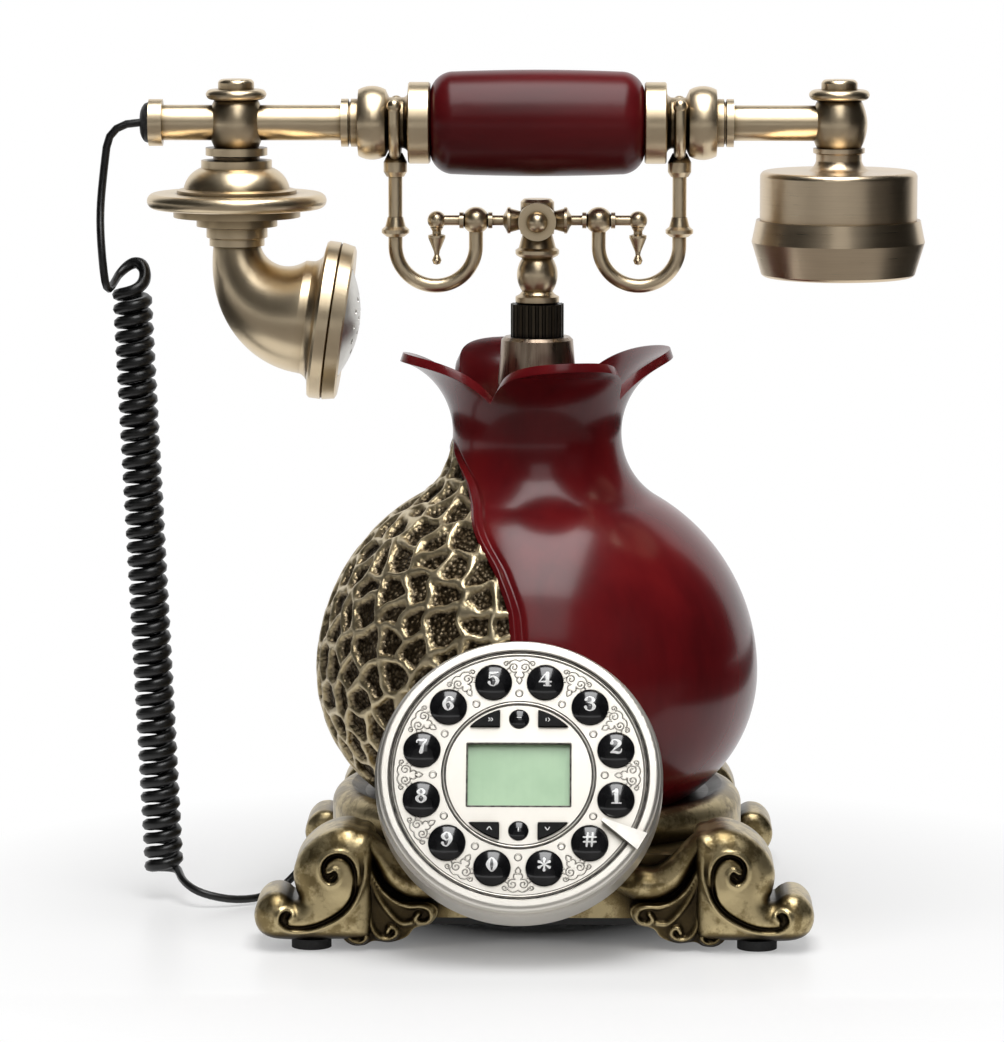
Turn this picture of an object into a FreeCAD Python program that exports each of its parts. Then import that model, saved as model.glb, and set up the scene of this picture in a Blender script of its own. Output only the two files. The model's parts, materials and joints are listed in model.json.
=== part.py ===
import FreeCAD, Part
import math
import os
import Sketcher
from FreeCAD import Placement, Rotation, Vector

# A desk telephone shaped as a pomegranate. Millimetres, Z up, front towards -Y, floor at Z = 0.
# Every driving size is a cell of the sheet; sketches and places are bound to the cells.

SIZES = (
    ("axis_back", 12.5, "body axis behind the middle of the footprint"),
    ("peel_belly_radius", 74.3, "widest radius of the peel"),
    ("belly_rise", 41.0, "widest radius above the seat"),
    ("upper_curve", 68.0, "profile radius above the belly"),
    ("lower_curve", 49.0, "profile radius below the belly"),
    ("neck_radius", 28.3, "narrowest radius under the crown"),
    ("neck_curve", 26.0, "profile radius of the neck and petals"),
    ("petal_lean", 17.0, "angle of the petal tip on the neck curve"),
    ("petal_arch", 24.5, "radius of each petal's outline"),
    ("petal_rise", 2.2, "petal outline's centre above the neck"),
    ("petal_turn", 16.0, "turn of the front petal to the right"),
    ("peel_thickness", 3.0, "thickness of the peel"),
    ("fit_gap", 0.2, "clearance between fitted castings"),
    ("core_wall", 4.0, "wall of the seed core"),
    ("core_rise", 6.2, "top of the seed core above the neck"),
    ("core_plate", 4.0, "thickness of the core's top plate"),
    ("seed_sink", 0.8, "seed bed below the peel's surface"),
    ("window_turn", 83.0, "middle of the opening, to the left of the front"),
    ("cell_ball", 7.5, "radius of the ball that sinks a seed cell"),
    ("cell_depth", 1.7, "depth of a seed cell"),
    ("cell_pitch", 11.6, "distance between seed cells"),
    ("seat_height", 38.0, "height of the plinth's top, where the body stands"),
    ("tier_radius", 69.0, "radius of the plinth's upper tier"),
    ("tier_bottom", 27.0, "underside of the upper tier"),
    ("tier_wall", 7.0, "straight wall of the upper tier"),
    ("tier_round", 6.5, "rounded edge of the upper tier"),
    ("tier_lip", 58.0, "inner radius of the tier's raised lip"),
    ("plinth_bottom", 9.0, "underside of the plinth"),
    ("plinth_front_half", 71.0, "half width of the plinth's front"),
    ("plinth_rear_half", 58.0, "half width of the plinth's back"),
    ("plinth_half_depth", 73.0, "half depth of the plinth"),
    ("plinth_wall", 9.0, "wall of the plinth"),
    ("plinth_opening", 38.0, "radius of the opening up into the body"),
    ("cover_thickness", 2.5, "thickness of the bottom cover"),
    ("cover_inset", 1.0, "cover inside the plinth's outline"),
    ("screw_head_radius", 3.0, "radius of a cover screw's head"),
    ("screw_head_height", 1.5, "height of a cover screw's head"),
    ("screw_radius", 1.4, "radius of a cover screw's shank"),
    ("screw_length", 9.0, "length of a cover screw's shank"),
    ("screw_gap", 0.1, "clearance around a screw"),
    ("foot_inner", 52.0, "inner side of a front foot"),
    ("foot_front", 87.0, "front face of a foot"),
    ("foot_depth", 29.0, "depth of a foot"),
    ("foot_bottom", 3.2, "underside of a foot"),
    ("shoulder_x", 59.0, "centre of the shoulder scroll"),
    ("shoulder_height", 27.0, "height of the shoulder scroll's centre"),
    ("shoulder_radius", 14.2, "radius of the shoulder scroll"),
    ("toe_x", 77.4, "centre of the toe scroll"),
    ("toe_radius", 7.7, "radius of the toe scroll"),
    ("rear_inset", 9.0, "rear feet further in than the front feet"),
    ("groove_radius", 1.1, "radius of a carved scroll groove"),
    ("pad_radius", 6.5, "radius of a rubber pad"),
    ("pad_x", 72.5, "place of a front pad across"),
    ("pad_y", 76.0, "place of a pad fore and aft"),
    ("dial_radius", 46.4, "radius of the dial housing"),
    ("dial_forward", 94.0, "dial centre in front of the body axis"),
    ("dial_aside", 4.8, "dial centre to the left of the body axis"),
    ("dial_height", 60.4, "height of the dial centre"),
    ("dial_tilt", 28.0, "lean of the dial from upright"),
    ("dial_depth", 16.0, "depth of the dial housing"),
    ("dial_neck_radius", 30.0, "radius of the housing's neck"),
    ("dial_neck_end", 44.0, "depth of the neck's end"),
    ("dial_wall", 2.5, "wall of the dial housing"),
    ("bezel_inner", 41.8, "inner radius of the bezel"),
    ("face_sink", 0.8, "face plate below the bezel"),
    ("face_thickness", 1.8, "thickness of the face plate"),
    ("board_depth", 7.6, "top of the key board below the bezel"),
    ("board_thickness", 1.6, "thickness of a circuit board"),
    ("board_radius", 39.6, "radius of the key board"),
    ("key_circle", 32.3, "radius of the circle of number keys"),
    ("key_radius", 5.85, "radius of a number key"),
    ("key_rise", 1.9, "key's dome above the bezel"),
    ("key_flange", 0.9, "width of a key's retaining flange"),
    ("key_flange_height", 1.2, "height of a key's retaining flange"),
    ("key_gap", 0.2, "clearance around a key"),
    ("small_key_radius", 3.1, "radius of a round function key"),
    ("small_key_rise", 1.0, "dome of a round function key"),
    ("small_key_row", 18.8, "function key rows from the dial centre"),
    ("side_key_ring", 22.7, "outer arc of the side function keys"),
    ("side_key_inner", 6.1, "inner side of the side function keys"),
    ("side_key_base", 16.0, "base line of the side function keys"),
    ("display_width", 33.4, "width of the display window"),
    ("display_tall", 21.2, "height of the display window"),
    ("display_rim", 1.5, "display module beyond its window"),
    ("stop_tip", 31.0, "finger stop's tip from the dial centre"),
    ("stop_end", 45.8, "finger stop's outer end"),
    ("stop_width", 6.4, "finger stop's width"),
    ("stop_height", 1.8, "finger stop's height"),
    ("socket_flange", 20.0, "radius of the hook socket's flange"),
    ("socket_foot", 13.7, "radius of the socket's foot"),
    ("socket_top", 12.0, "radius of the socket's top"),
    ("socket_height", 26.0, "height of the socket"),
    ("socket_floor", 4.0, "floor of the socket"),
    ("plunger_radius", 8.9, "radius of the splined plunger"),
    ("plunger_gap", 0.08, "clearance around the plunger"),
    ("spring_room", 6.5, "room of the return spring under the spline"),
    ("spline_show", 11.0, "spline standing above the socket"),
    ("spline_groove", 0.75, "radius of a spline groove"),
    ("rod_radius", 4.0, "radius of the plunger's rod"),
    ("rod_length", 50.5, "length of the plunger's rod"),
    ("spring_wire", 0.8, "wire of the return spring"),
    ("spring_radius", 6.2, "mean radius of the return spring"),
    ("spring_turns", 3.5, "turns of the return spring"),
    ("column_ring", 7.3, "radius of the column's rings"),
    ("column_ball", 6.8, "radius of the column's vase"),
    ("cross_rise", 27.9, "cradle's cross above the plunger"),
    ("cross_radius", 5.6, "radius of the cross block"),
    ("boss_radius", 6.3, "radius of the cross's round boss"),
    ("boss_ball", 3.5, "radius of the boss's ball"),
    ("arm_rod", 1.7, "radius of an arm's rod"),
    ("arm_start", 9.0, "start of an arm beside the cross"),
    ("arm_ball", 4.5, "radius of an arm's ball"),
    ("arm_ball_x", 20.5, "place of an arm's ball"),
    ("finial_x", 33.6, "place of an arm's end ball"),
    ("finial_ball", 3.1, "radius of an arm's end ball"),
    ("hook_tube", 2.35, "radius of the U-hook's tube"),
    ("hook_x", 47.4, "place of the U-hook's outer shaft"),
    ("hook_drop", 21.9, "U-hook's lowest centreline below the cross"),
    ("hook_collar", 4.6, "radius of the shaft's collar"),
    ("fork_cup", 3.9, "radius of the fork's cup"),
    ("fork_drop", 17.9, "fork's underside below the handset's axis"),
    ("fork_rod", 2.0, "radius of the fork's prongs"),
    ("fork_gap", 0.5, "clearance beside the handset's neck"),
    ("prong_rise", 6.1, "prongs' ball tips above the handset's axis"),
    ("rest_gap", 0.05, "clearance under the resting handset"),
    ("handset_rise", 32.5, "handset's axis above the cross"),
    ("grip_half", 35.7, "half length of the grip"),
    ("grip_radius", 17.7, "radius of the grip"),
    ("grip_round", 8.0, "rounding of the grip's ends"),
    ("ferrule_radius", 13.6, "radius of the ferrule's band"),
    ("ferrule_width", 7.3, "width of the ferrule's band"),
    ("neck_turn_radius", 8.5, "radius of the handset's neck"),
    ("neck_turn_end", 50.6, "outer end of the neck"),
    ("bead_radius", 12.3, "radius of the ferrule's bead"),
    ("bead_end", 59.6, "outer end of the bead"),
    ("collar_radius", 8.0, "radius of the ferrule's collar"),
    ("collar_end", 65.3, "outer end of the collar"),
    ("tube_radius", 5.9, "radius of the arm tubes"),
    ("tube_gap", 0.03, "clearance around the arm tubes"),
    ("tube_bore", 4.4, "bore of the arm tubes"),
    ("barrel_x", 100.4, "barrels from the middle"),
    ("barrel_radius", 9.4, "greatest radius of a barrel"),
    ("barrel_end_radius", 7.3, "radius of a barrel's ends"),
    ("barrel_half", 8.3, "half height of a barrel"),
    ("barrel_bead", 10.1, "radius of the barrel's top bead"),
    ("barrel_button", 6.0, "radius of the barrel's button"),
    ("wire_bore", 3.0, "bore for the wires"),
    ("gland_start", 125.0, "inner side of the end flange"),
    ("gland_flange", 7.8, "radius of the end flange"),
    ("gland_end", 129.5, "outer side of the end flange"),
    ("gland_dome", 6.9, "radius of the black gland"),
    ("saucer_radius", 30.0, "radius of the mouth saucer"),
    ("saucer_step", 21.2, "radius of the disc under the saucer"),
    ("mouth_dome", 17.7, "radius of the dome over the saucer"),
    ("horn_start", 7.9, "radius of the horn's start"),
    ("horn_end", 18.8, "radius of the horn's end"),
    ("horn_bend", 24.0, "bend radius of the horn"),
    ("horn_turn", 82.0, "turn of the horn"),
    ("horn_wall", 2.0, "wall of the horn"),
    ("mouth_ring", 26.5, "radius of the mouth bezel"),
    ("mouth_cap_radius", 18.2, "radius of the mouth cap"),
    ("mouth_cap_dome", 5.0, "height of the mouth cap's dome"),
    ("ear_cup_radius", 26.2, "radius of the ear cup"),
    ("ear_cap_radius", 28.9, "radius of the ear cap's ridge"),
    ("ear_cap_end", 25.7, "radius of the ear cap's rim"),
    ("ear_wall", 2.4, "wall of the ear cup"),
    ("cord_radius", 1.35, "radius of the cord's leads"),
    ("curl_radius", 2.05, "radius of the cord in its curls"),
    ("coil_radius", 4.65, "radius of the coil's centreline"),
    ("coil_pitch", 4.75, "pitch of the coil"),
    ("coil_turns", 42.5, "turns of the coil"),
    ("jack_width", 12.0, "width of a jack"),
    ("jack_tall", 12.0, "height of a jack"),
)

doc = FreeCAD.newDocument("pomegranate_telephone")
sheet = doc.addObject("Spreadsheet::Sheet", "Sizes")
for row, (alias, number, note) in enumerate(SIZES, 1):
    sheet.set(f"A{row}", alias)
    sheet.set(f"B{row}", str(number))
    sheet.setAlias(f"B{row}", alias)
    sheet.set(f"C{row}", note)
doc.recompute()


class Size:
    """A number together with the sheet expression that gives it."""

    def __init__(self, number, text):
        self.number = float(number)
        self.text = text

    def __float__(self):
        return self.number

    def join(self, other, number, sign, turned=False):
        other_text = other.text if isinstance(other, Size) else repr(float(other))
        first, second = (other_text, self.text) if turned else (self.text, other_text)
        return Size(number, f"({first} {sign} {second})")

    def __add__(self, other):
        return self.join(other, self.number + float(other), "+")

    def __radd__(self, other):
        return self.join(other, float(other) + self.number, "+", True)

    def __sub__(self, other):
        return self.join(other, self.number - float(other), "-")

    def __rsub__(self, other):
        return self.join(other, float(other) - self.number, "-", True)

    def __mul__(self, other):
        return self.join(other, self.number * float(other), "*")

    def __rmul__(self, other):
        return self.join(other, float(other) * self.number, "*", True)

    def __truediv__(self, other):
        return self.join(other, self.number / float(other), "/")

    def __rtruediv__(self, other):
        return self.join(other, float(other) / self.number, "/", True)

    def __neg__(self):
        return Size(-self.number, f"(0 - {self.text})")

    def root(self):
        return Size(math.sqrt(self.number), f"sqrt({self.text})")

    def sin(self):
        return Size(math.sin(math.radians(self.number)), f"sin({self.text})")

    def cos(self):
        return Size(math.cos(math.radians(self.number)), f"cos({self.text})")


class Sheet:
    """Gives each cell of the sheet by its alias."""

    def __getattr__(self, alias):
        return Size(sheet.get(alias), f"Sizes.{alias}")


d = Sheet()
X_AXIS = Vector(1, 0, 0)
Y_AXIS = Vector(0, 1, 0)
Z_AXIS = Vector(0, 0, 1)
NODES = {}


def bind(thing, path, size):
    """Binds a property to the sheet where the size comes from it."""
    if isinstance(size, Size):
        thing.setExpression(path, size.text)


def place(thing, at, axis=Z_AXIS, angle=0.0):
    """Puts an object in its place, bound to the sheet."""
    spot = Vector(*[float(v) for v in at])
    thing.Placement = Placement(spot, Rotation(axis, float(angle)))
    for name, value in zip("xyz", at):
        bind(thing, f"Placement.Base.{name}", value)
    bind(thing, "Placement.Rotation.Angle", angle)
    return thing


def centre(x, y, z):
    """A place given from the body axis."""
    return (x, d.axis_back + y, z)


def node(name, thing):
    """Names an object as one piece of the assembly."""
    thing.Label = name
    NODES[name] = thing
    return thing


def new_body(name):
    return doc.addObject("PartDesign::Body", name)


def new_sketch(body, name, role="XZ_Plane"):
    """An empty sketch on one of the body's own planes."""
    sketch = body.newObject("Sketcher::SketchObject", name)
    plane = [f for f in body.Origin.OriginFeatures if f.Role == role][0]
    sketch.AttachmentSupport = [(plane, "")]
    sketch.MapMode = "FlatFace"
    return sketch


def limit(sketch, kind, where, size):
    """Adds one dimension and binds it."""
    number = abs(float(size))
    index = sketch.addConstraint(Sketcher.Constraint(kind, *where, number))
    if isinstance(size, Size):
        bind(sketch, f"Constraints[{index}]", size if float(size) > 0 else -size)


def pin(sketch, piece, end, corner):
    """Fixes a corner of a sketch by its two coordinates."""
    for kind, axis, value in (("DistanceX", -2, corner[0]), ("DistanceY", -1, corner[1])):
        if abs(float(value)) < 1e-9:
            sketch.addConstraint(Sketcher.Constraint("PointOnObject", piece, end, axis))
        elif float(value) > 0:
            limit(sketch, kind, (-1, 1, piece, end), value)
        else:
            limit(sketch, kind, (piece, end, -1, 1), value)


def arc(start, end, radius):
    """The shorter arc between two points, turning left for a positive radius."""
    chord = end - start
    half = chord.Length / 2
    left = Vector(-chord.y, chord.x, 0).normalize()
    side = left if radius > 0 else left * -1
    middle = (start + end) * 0.5 + side * math.sqrt(max(radius * radius - half * half, 0.0))
    first, last = (start, end) if radius > 0 else (end, start)
    a0 = math.atan2(first.y - middle.y, first.x - middle.x)
    a1 = math.atan2(last.y - middle.y, last.x - middle.x)
    if a1 < a0:
        a1 += 2 * math.pi
    return Part.ArcOfCircle(Part.Circle(middle, Z_AXIS, abs(radius)), a0, a1)


def outline(sketch, corners):
    """A closed outline. A corner with a third value is reached by an arc of that radius."""
    pieces = []
    for index, corner in enumerate(corners):
        before = corners[index - 1]
        start = Vector(float(before[0]), float(before[1]), 0)
        end = Vector(float(corner[0]), float(corner[1]), 0)
        curved = len(corner) == 3
        shape = arc(start, end, float(corner[2])) if curved else Part.LineSegment(start, end)
        ends = (2, 1) if curved and float(corner[2]) < 0 else (1, 2)
        pieces.append((sketch.addGeometry(shape, False), ends))
    for index, (piece, ends) in enumerate(pieces):
        following, next_ends = pieces[(index + 1) % len(pieces)]
        sketch.addConstraint(Sketcher.Constraint("Coincident", piece, ends[1], following, next_ends[0]))
        pin(sketch, piece, ends[1], corners[index])
        if len(corners[index]) == 3:
            limit(sketch, "Radius", (piece,), corners[index][2])


def ring(sketch, x, y, radius):
    """A circle in a sketch."""
    spot = Vector(float(x), float(y), 0)
    piece = sketch.addGeometry(Part.Circle(spot, Z_AXIS, float(radius)), False)
    pin(sketch, piece, 3, (x, y))
    limit(sketch, "Radius", (piece,), radius)


def revolve(body, name, corners):
    """Turns a profile of radius and height about the body's Z axis."""
    sketch = new_sketch(body, f"{name}_profile")
    outline(sketch, corners)
    turn = body.newObject("PartDesign::Revolution", f"{name}_turn")
    turn.Profile = sketch
    turn.ReferenceAxis = (sketch, ["V_Axis"])
    turn.Angle = 360
    sketch.Visibility = False
    return turn


def turned(name, corners, at=(0, 0, 0), axis=Z_AXIS, angle=0.0):
    """A turned piece in its place."""
    body = new_body(name)
    revolve(body, name, corners)
    return place(body, at, axis, angle)


def pad(body, name, corners, length, role="XY_Plane"):
    sketch = new_sketch(body, f"{name}_outline", role)
    outline(sketch, corners)
    feature = body.newObject("PartDesign::Pad", f"{name}_pad")
    feature.Profile = sketch
    feature.Length = float(length)
    bind(feature, "Length", length)
    sketch.Visibility = False
    return feature


def pocket(body, name, draw, depth, height=0.0, role="XY_Plane", flip=False):
    """Cuts a sketch into a body, from a plane at a height; flip cuts upwards."""
    sketch = new_sketch(body, f"{name}_outline", role)
    sketch.AttachmentOffset = Placement(Vector(0, 0, float(height)), Rotation())
    bind(sketch, "AttachmentOffset.Base.z", height)
    draw(sketch)
    feature = body.newObject("PartDesign::Pocket", f"{name}_pocket")
    feature.Profile = sketch
    feature.Length = float(depth)
    bind(feature, "Length", depth)
    feature.Reversed = flip
    sketch.Visibility = False
    return feature


def cylinder(name, radius, height, at=(0, 0, 0), axis=Z_AXIS, angle=0.0):
    thing = doc.addObject("Part::Cylinder", name)
    thing.Radius = float(radius)
    thing.Height = float(height)
    bind(thing, "Radius", radius)
    bind(thing, "Height", height)
    return place(thing, at, axis, angle)


def box(name, length, width, height, at):
    thing = doc.addObject("Part::Box", name)
    for side, value in (("Length", length), ("Width", width), ("Height", height)):
        setattr(thing, side, float(value))
        bind(thing, side, value)
    return place(thing, at)


def sphere(name, radius, at):
    thing = doc.addObject("Part::Sphere", name)
    thing.Radius = float(radius)
    bind(thing, "Radius", radius)
    return place(thing, at)


def cut(name, base, tool):
    thing = doc.addObject("Part::Cut", name)
    thing.Base = base
    thing.Tool = tool
    return thing


def fuse(name, things):
    thing = doc.addObject("Part::MultiFuse", name)
    thing.Shapes = things
    return thing


def group(name, things):
    """Separate solids of one kind that share a node."""
    thing = doc.addObject("Part::Compound", name)
    thing.Links = things
    return thing


def mirrored(name, source, normal=X_AXIS):
    thing = doc.addObject("Part::Mirroring", name)
    thing.Source = source
    thing.Normal = normal
    thing.Base = Vector(0, float(d.axis_back), 0)
    bind(thing, "Base.y", d.axis_back)
    return thing


def made(name, shape):
    """A piece whose shape is worked out in code from the sheet's sizes."""
    thing = doc.addObject("Part::Feature", name)
    thing.Shape = shape
    return thing


def tube(points, radius, bends):
    """A round tube along straight runs joined by tangent arcs."""
    edges = []
    start = points[0]
    for index in range(1, len(points) - 1):
        here = points[index]
        back = (points[index - 1] - here).normalize()
        ahead = (points[index + 1] - here).normalize()
        turn = math.pi - back.getAngle(ahead)
        reach = bends[index - 1] * math.tan(turn / 2)
        first = here + back * reach
        last = here + ahead * reach
        inward = (back + ahead).normalize()
        middle = here + inward * (bends[index - 1] / math.cos(turn / 2) - bends[index - 1])
        if (first - start).Length > 1e-6:
            edges.append(Part.LineSegment(start, first).toShape())
        edges.append(Part.Arc(first, middle, last).toShape())
        start = last
    edges.append(Part.LineSegment(start, points[-1]).toShape())
    path = Part.Wire(edges)
    heading = points[1] - points[0]
    section = Part.Wire(Part.Circle(points[0], heading, radius).toShape())
    return path.makePipeShell([section], True, False), path.Length


# The dial stands on a tilted plane: local Z leaves the face, local Y climbs it.
tilt_angle = 90 - d.dial_tilt
tilt_sin = d.dial_tilt.sin()
tilt_cos = d.dial_tilt.cos()


def on_dial(across, up, out):
    """A place on the dial: across, up the face and out of it."""
    y = d.axis_back - d.dial_forward + up * tilt_sin - out * tilt_cos
    z = d.dial_height + up * tilt_cos + out * tilt_sin
    return (across - d.dial_aside, y, z)


def dial_turned(name, corners, across=0.0, up=0.0):
    return turned(name, corners, on_dial(across, up, 0), X_AXIS, tilt_angle)


# The pomegranate's outline: a lower arc, a belly arc and one hollow arc through neck and petals.
belly_centre = d.peel_belly_radius - d.upper_curve
low_centre = d.peel_belly_radius - d.lower_curve
neck_centre = d.neck_radius + d.neck_curve
centre_span = d.upper_curve + d.neck_curve
centre_step = neck_centre - belly_centre
centre_rise = (centre_span * centre_span - centre_step * centre_step).root()
belly_height = d.seat_height + d.belly_rise
neck_height = belly_height + centre_rise
core_top = neck_height + d.core_rise


def low_point(inset, height):
    drop = belly_height - height
    reach = d.lower_curve - inset
    return low_centre + (reach * reach - drop * drop).root()


def join_point(inset):
    reach = d.upper_curve - inset
    share = reach / centre_span
    return (belly_centre + share * centre_step, belly_height + share * centre_rise)


def neck_point(inset, height):
    lift = height - neck_height
    reach = d.neck_curve + inset
    return neck_centre - (reach * reach - lift * lift).root()


def fruit_side(inset, top):
    """The outline's right side, upwards, a given distance inside the peel's surface."""
    return [
        (low_point(inset, d.seat_height), d.seat_height),
        (d.peel_belly_radius - inset, belly_height, d.lower_curve - inset),
        (*join_point(inset), d.upper_curve - inset),
        (*top, -(d.neck_curve + inset)),
    ]


def back_down(inset, top):
    """The same side, downwards, from a top point."""
    return [
        top,
        (*join_point(inset), d.neck_curve + inset),
        (d.peel_belly_radius - inset, belly_height, -(d.upper_curve - inset)),
        (low_point(inset, d.seat_height), d.seat_height, -(d.lower_curve - inset)),
    ]


def tip_point(inset):
    reach = d.neck_curve + inset
    return (neck_centre - reach * d.petal_lean.sin(), neck_height + reach * d.petal_lean.cos())


# One stepped tool makes the seat of the dial in the peel, the core and the plinth.
dial_seat = dial_turned(
    "dial_seat",
    [
        (0, -d.dial_neck_end - 2),
        (d.dial_neck_radius + d.fit_gap, -d.dial_neck_end - 2),
        (d.dial_neck_radius + d.fit_gap, -d.dial_depth),
        (d.dial_radius + d.fit_gap, -d.dial_depth),
        (d.dial_radius + d.fit_gap, d.dial_depth),
        (0, d.dial_depth),
    ],
)

# The opening over the seeds: half its angle at eight heights, lofted from the axis outwards.
WINDOW = ((34, 66), (58, 74), (84, 77.5), (106, 76), (120, 70.5), (130, 61), (144, 40.5), (157, 3))


def window_tool(name, slack):
    """A fan-shaped cutter, narrower by a slack in degrees."""
    middle = math.radians(-90 - float(d.window_turn))
    wires = []
    for height, half in WINDOW:
        reach = math.radians(max(half - slack, 1.0))
        corners = [Vector(0, 0, height)]
        for share in (-1, -0.5, 0, 0.5, 1):
            angle = middle + reach * share
            corners.append(Vector(170 * math.cos(angle), 170 * math.sin(angle), height))
        wires.append(Part.makePolygon(corners + corners[:1]))
    return place(made(name, Part.makeLoft(wires, True, False)), centre(0, 0, 0))


window = window_tool("window", 0)

# The peel: turned shell, petals cut by two crossing arches, opening cut over the seeds.
peel_blank = turned(
    "peel_blank",
    fruit_side(0, tip_point(0)) + back_down(d.peel_thickness, tip_point(d.peel_thickness)),
    centre(0, 0, 0),
)
arch_length = d.peel_belly_radius * 1.75
petal_centre = neck_height + d.petal_rise
arches = []
for index in range(2):
    turn = 90 * index + float(d.petal_turn)
    arch = cylinder(f"petal_arch_{index}", d.petal_arch, arch_length)
    lay = Rotation(Z_AXIS, turn) * Rotation(X_AXIS, 90)
    heading = lay.multVec(Z_AXIS) * (-float(arch_length) / 2)
    spot = Vector(0, float(d.axis_back), float(petal_centre)) + heading
    arch.Placement = Placement(spot, lay)
    arches.append(arch)
crown_drum = cylinder("crown_drum", d.peel_belly_radius, 40.0, centre(0, 0, petal_centre + 2))
crown_trim = cut("crown_trim", crown_drum, fuse("petal_arches", arches))
peel_petalled = cut("peel_petalled", peel_blank, crown_trim)
peel_open = cut("peel_open", peel_petalled, window)
node("peel_shell", cut("peel_shell", peel_open, dial_seat))

# The seed core: hollow casting with a top plate, raised to the peel's surface inside the opening.
core_inset = d.peel_thickness + d.fit_gap
core_hollow = core_inset + d.core_wall
plate_under = core_top - d.core_plate
core_blank = turned(
    "core_blank",
    fruit_side(core_inset, (neck_point(core_inset, core_top), core_top))
    + [(0, core_top), (0, plate_under)]
    + back_down(core_hollow, (neck_point(core_hollow, plate_under), plate_under)),
    centre(0, 0, 0),
)
bed_top = neck_height - 2.3
bed_under = core_inset + 1
bed_blank = turned(
    "bed_blank",
    fruit_side(d.seed_sink, (neck_point(d.seed_sink, bed_top), bed_top))
    + back_down(bed_under, (neck_point(bed_under, bed_top), bed_top)),
    centre(0, 0, 0),
)
bed = doc.addObject("Part::Common", "bed")
bed.Base = bed_blank
bed.Tool = window_tool("bed_window", 0.35)


def surface(height):
    """Radius and outward slope of the fruit at a height."""
    join_r, join_z = [float(v) for v in join_point(0)]
    if height < float(belly_height):
        middle = Vector(float(low_centre), 0, float(belly_height))
        r = float(low_point(0, height))
        return r, (Vector(r, 0, height) - middle).normalize()
    if height < join_z:
        middle = Vector(float(belly_centre), 0, float(belly_height))
        reach = float(d.upper_curve)
        r = middle.x + math.sqrt(reach**2 - (height - middle.z) ** 2)
        return r, (Vector(r, 0, height) - middle).normalize()
    middle = Vector(float(neck_centre), 0, float(neck_height))
    r = float(neck_point(0, height))
    return r, (middle - Vector(r, 0, height)).normalize()


def half_window(height):
    """Half angle of the opening at a height."""
    for (z0, a0), (z1, a1) in zip(WINDOW, WINDOW[1:]):
        if z0 <= height <= z1:
            return a0 + (a1 - a0) * (height - z0) / (z1 - z0)
    return 0.0


# Seed cells: balls sunk into the bed in staggered rows.
cells = []
pitch = float(d.cell_pitch)
ball = float(d.cell_ball)
lift = ball - float(d.cell_depth) - float(d.seed_sink)
height = float(d.seat_height) + pitch * 0.9
row = 0
while height < float(neck_height) - 9.8:
    r, slope = surface(height)
    step = math.degrees(pitch / r)
    edge = half_window(height) - math.degrees(pitch * 0.55 / r)
    angle = -math.floor(edge / step) * step + (step / 2 if row % 2 else 0)
    while angle < edge:
        if angle > -edge:
            spin = Rotation(Z_AXIS, -90 - float(d.window_turn) + angle)
            spot = spin.multVec(Vector(r, 0, height) + slope * lift)
            cells.append(Part.makeSphere(ball, spot))
        angle += step
    height += pitch * 0.86 * slope.x if slope.x > 0.5 else pitch * 0.6
    row += 1
print("seed cells", len(cells))
cell_tool = place(made("seed_cells", Part.makeCompound(cells)), centre(0, 0, 0))
sleeve_bore = cylinder("sleeve_bore", d.rod_radius + 3 + d.fit_gap, 60.0, centre(0, 0, 130))
core_whole = fuse("core_whole", [core_blank, bed])
core_celled = cut("core_celled", core_whole, cell_tool)
core_bored = cut("core_bored", core_celled, sleeve_bore)
node("seed_core", cut("seed_core", core_bored, dial_seat))


# The plinth: tapered apron block, round upper tier, hollow below, notches for the feet.
def plinth_outline(inset, round_off):
    """Tapered outline with rounded corners."""
    front = d.plinth_half_depth - inset
    f = d.plinth_front_half - inset
    b = d.plinth_rear_half - inset
    return [
        (f - round_off, -front),
        (f, -front + round_off, round_off),
        (b, front - round_off),
        (b - round_off, front, round_off),
        (-b + round_off, front),
        (-b, front - round_off, round_off),
        (-f, -front + round_off),
        (-f + round_off, -front, round_off),
    ]


def rectangle(left, low, right, high):
    return [(left, low), (right, low), (right, high), (left, high)]


plinth_body = new_body("plinth_blank")
pad(plinth_body, "apron", plinth_outline(0.0, 8.0), d.tier_bottom + 3 - d.plinth_bottom)
tier_low = d.tier_bottom - d.plinth_bottom
tier_top = tier_low + d.tier_wall
seat = d.seat_height - d.plinth_bottom
revolve(
    plinth_body,
    "tier",
    [
        (0, tier_low),
        (d.tier_radius, tier_low),
        (d.tier_radius, tier_top),
        (d.tier_radius - d.tier_round, tier_top + d.tier_round, d.tier_round),
        (d.tier_lip, seat),
        (0, seat),
    ],
)
hollow_depth = tier_low - 1
pocket(
    plinth_body,
    "hollow",
    lambda s: outline(s, plinth_outline(d.plinth_wall, 4.0)),
    hollow_depth,
    flip=True,
)
pocket(plinth_body, "opening", lambda s: ring(s, 0, 0, d.plinth_opening), 60.0, flip=True)
notch_inner = d.foot_inner
notch_back = d.foot_front - d.foot_depth - d.fit_gap
for side, label in ((1, "right"), (-1, "left")):
    front_notch = rectangle(notch_inner * side, -notch_back, (notch_inner + 40) * side, -notch_back - 40)
    rear_inner = notch_inner - d.rear_inset
    rear_notch = rectangle(rear_inner * side, notch_back, (rear_inner + 40) * side, notch_back + 40)
    pocket(plinth_body, f"front_notch_{label}", lambda s, c=front_notch: outline(s, c), 60.0, flip=True)
    pocket(plinth_body, f"rear_notch_{label}", lambda s, c=rear_notch: outline(s, c), 60.0, flip=True)
screw_front = (d.plinth_front_half * 0.6, -d.plinth_half_depth + 4.5)
screw_rear = (d.plinth_rear_half * 0.5, d.plinth_half_depth - 4.5)
SCREWS = [(x * side, y) for x, y in (screw_front, screw_rear) for side in (1, -1)]
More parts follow.
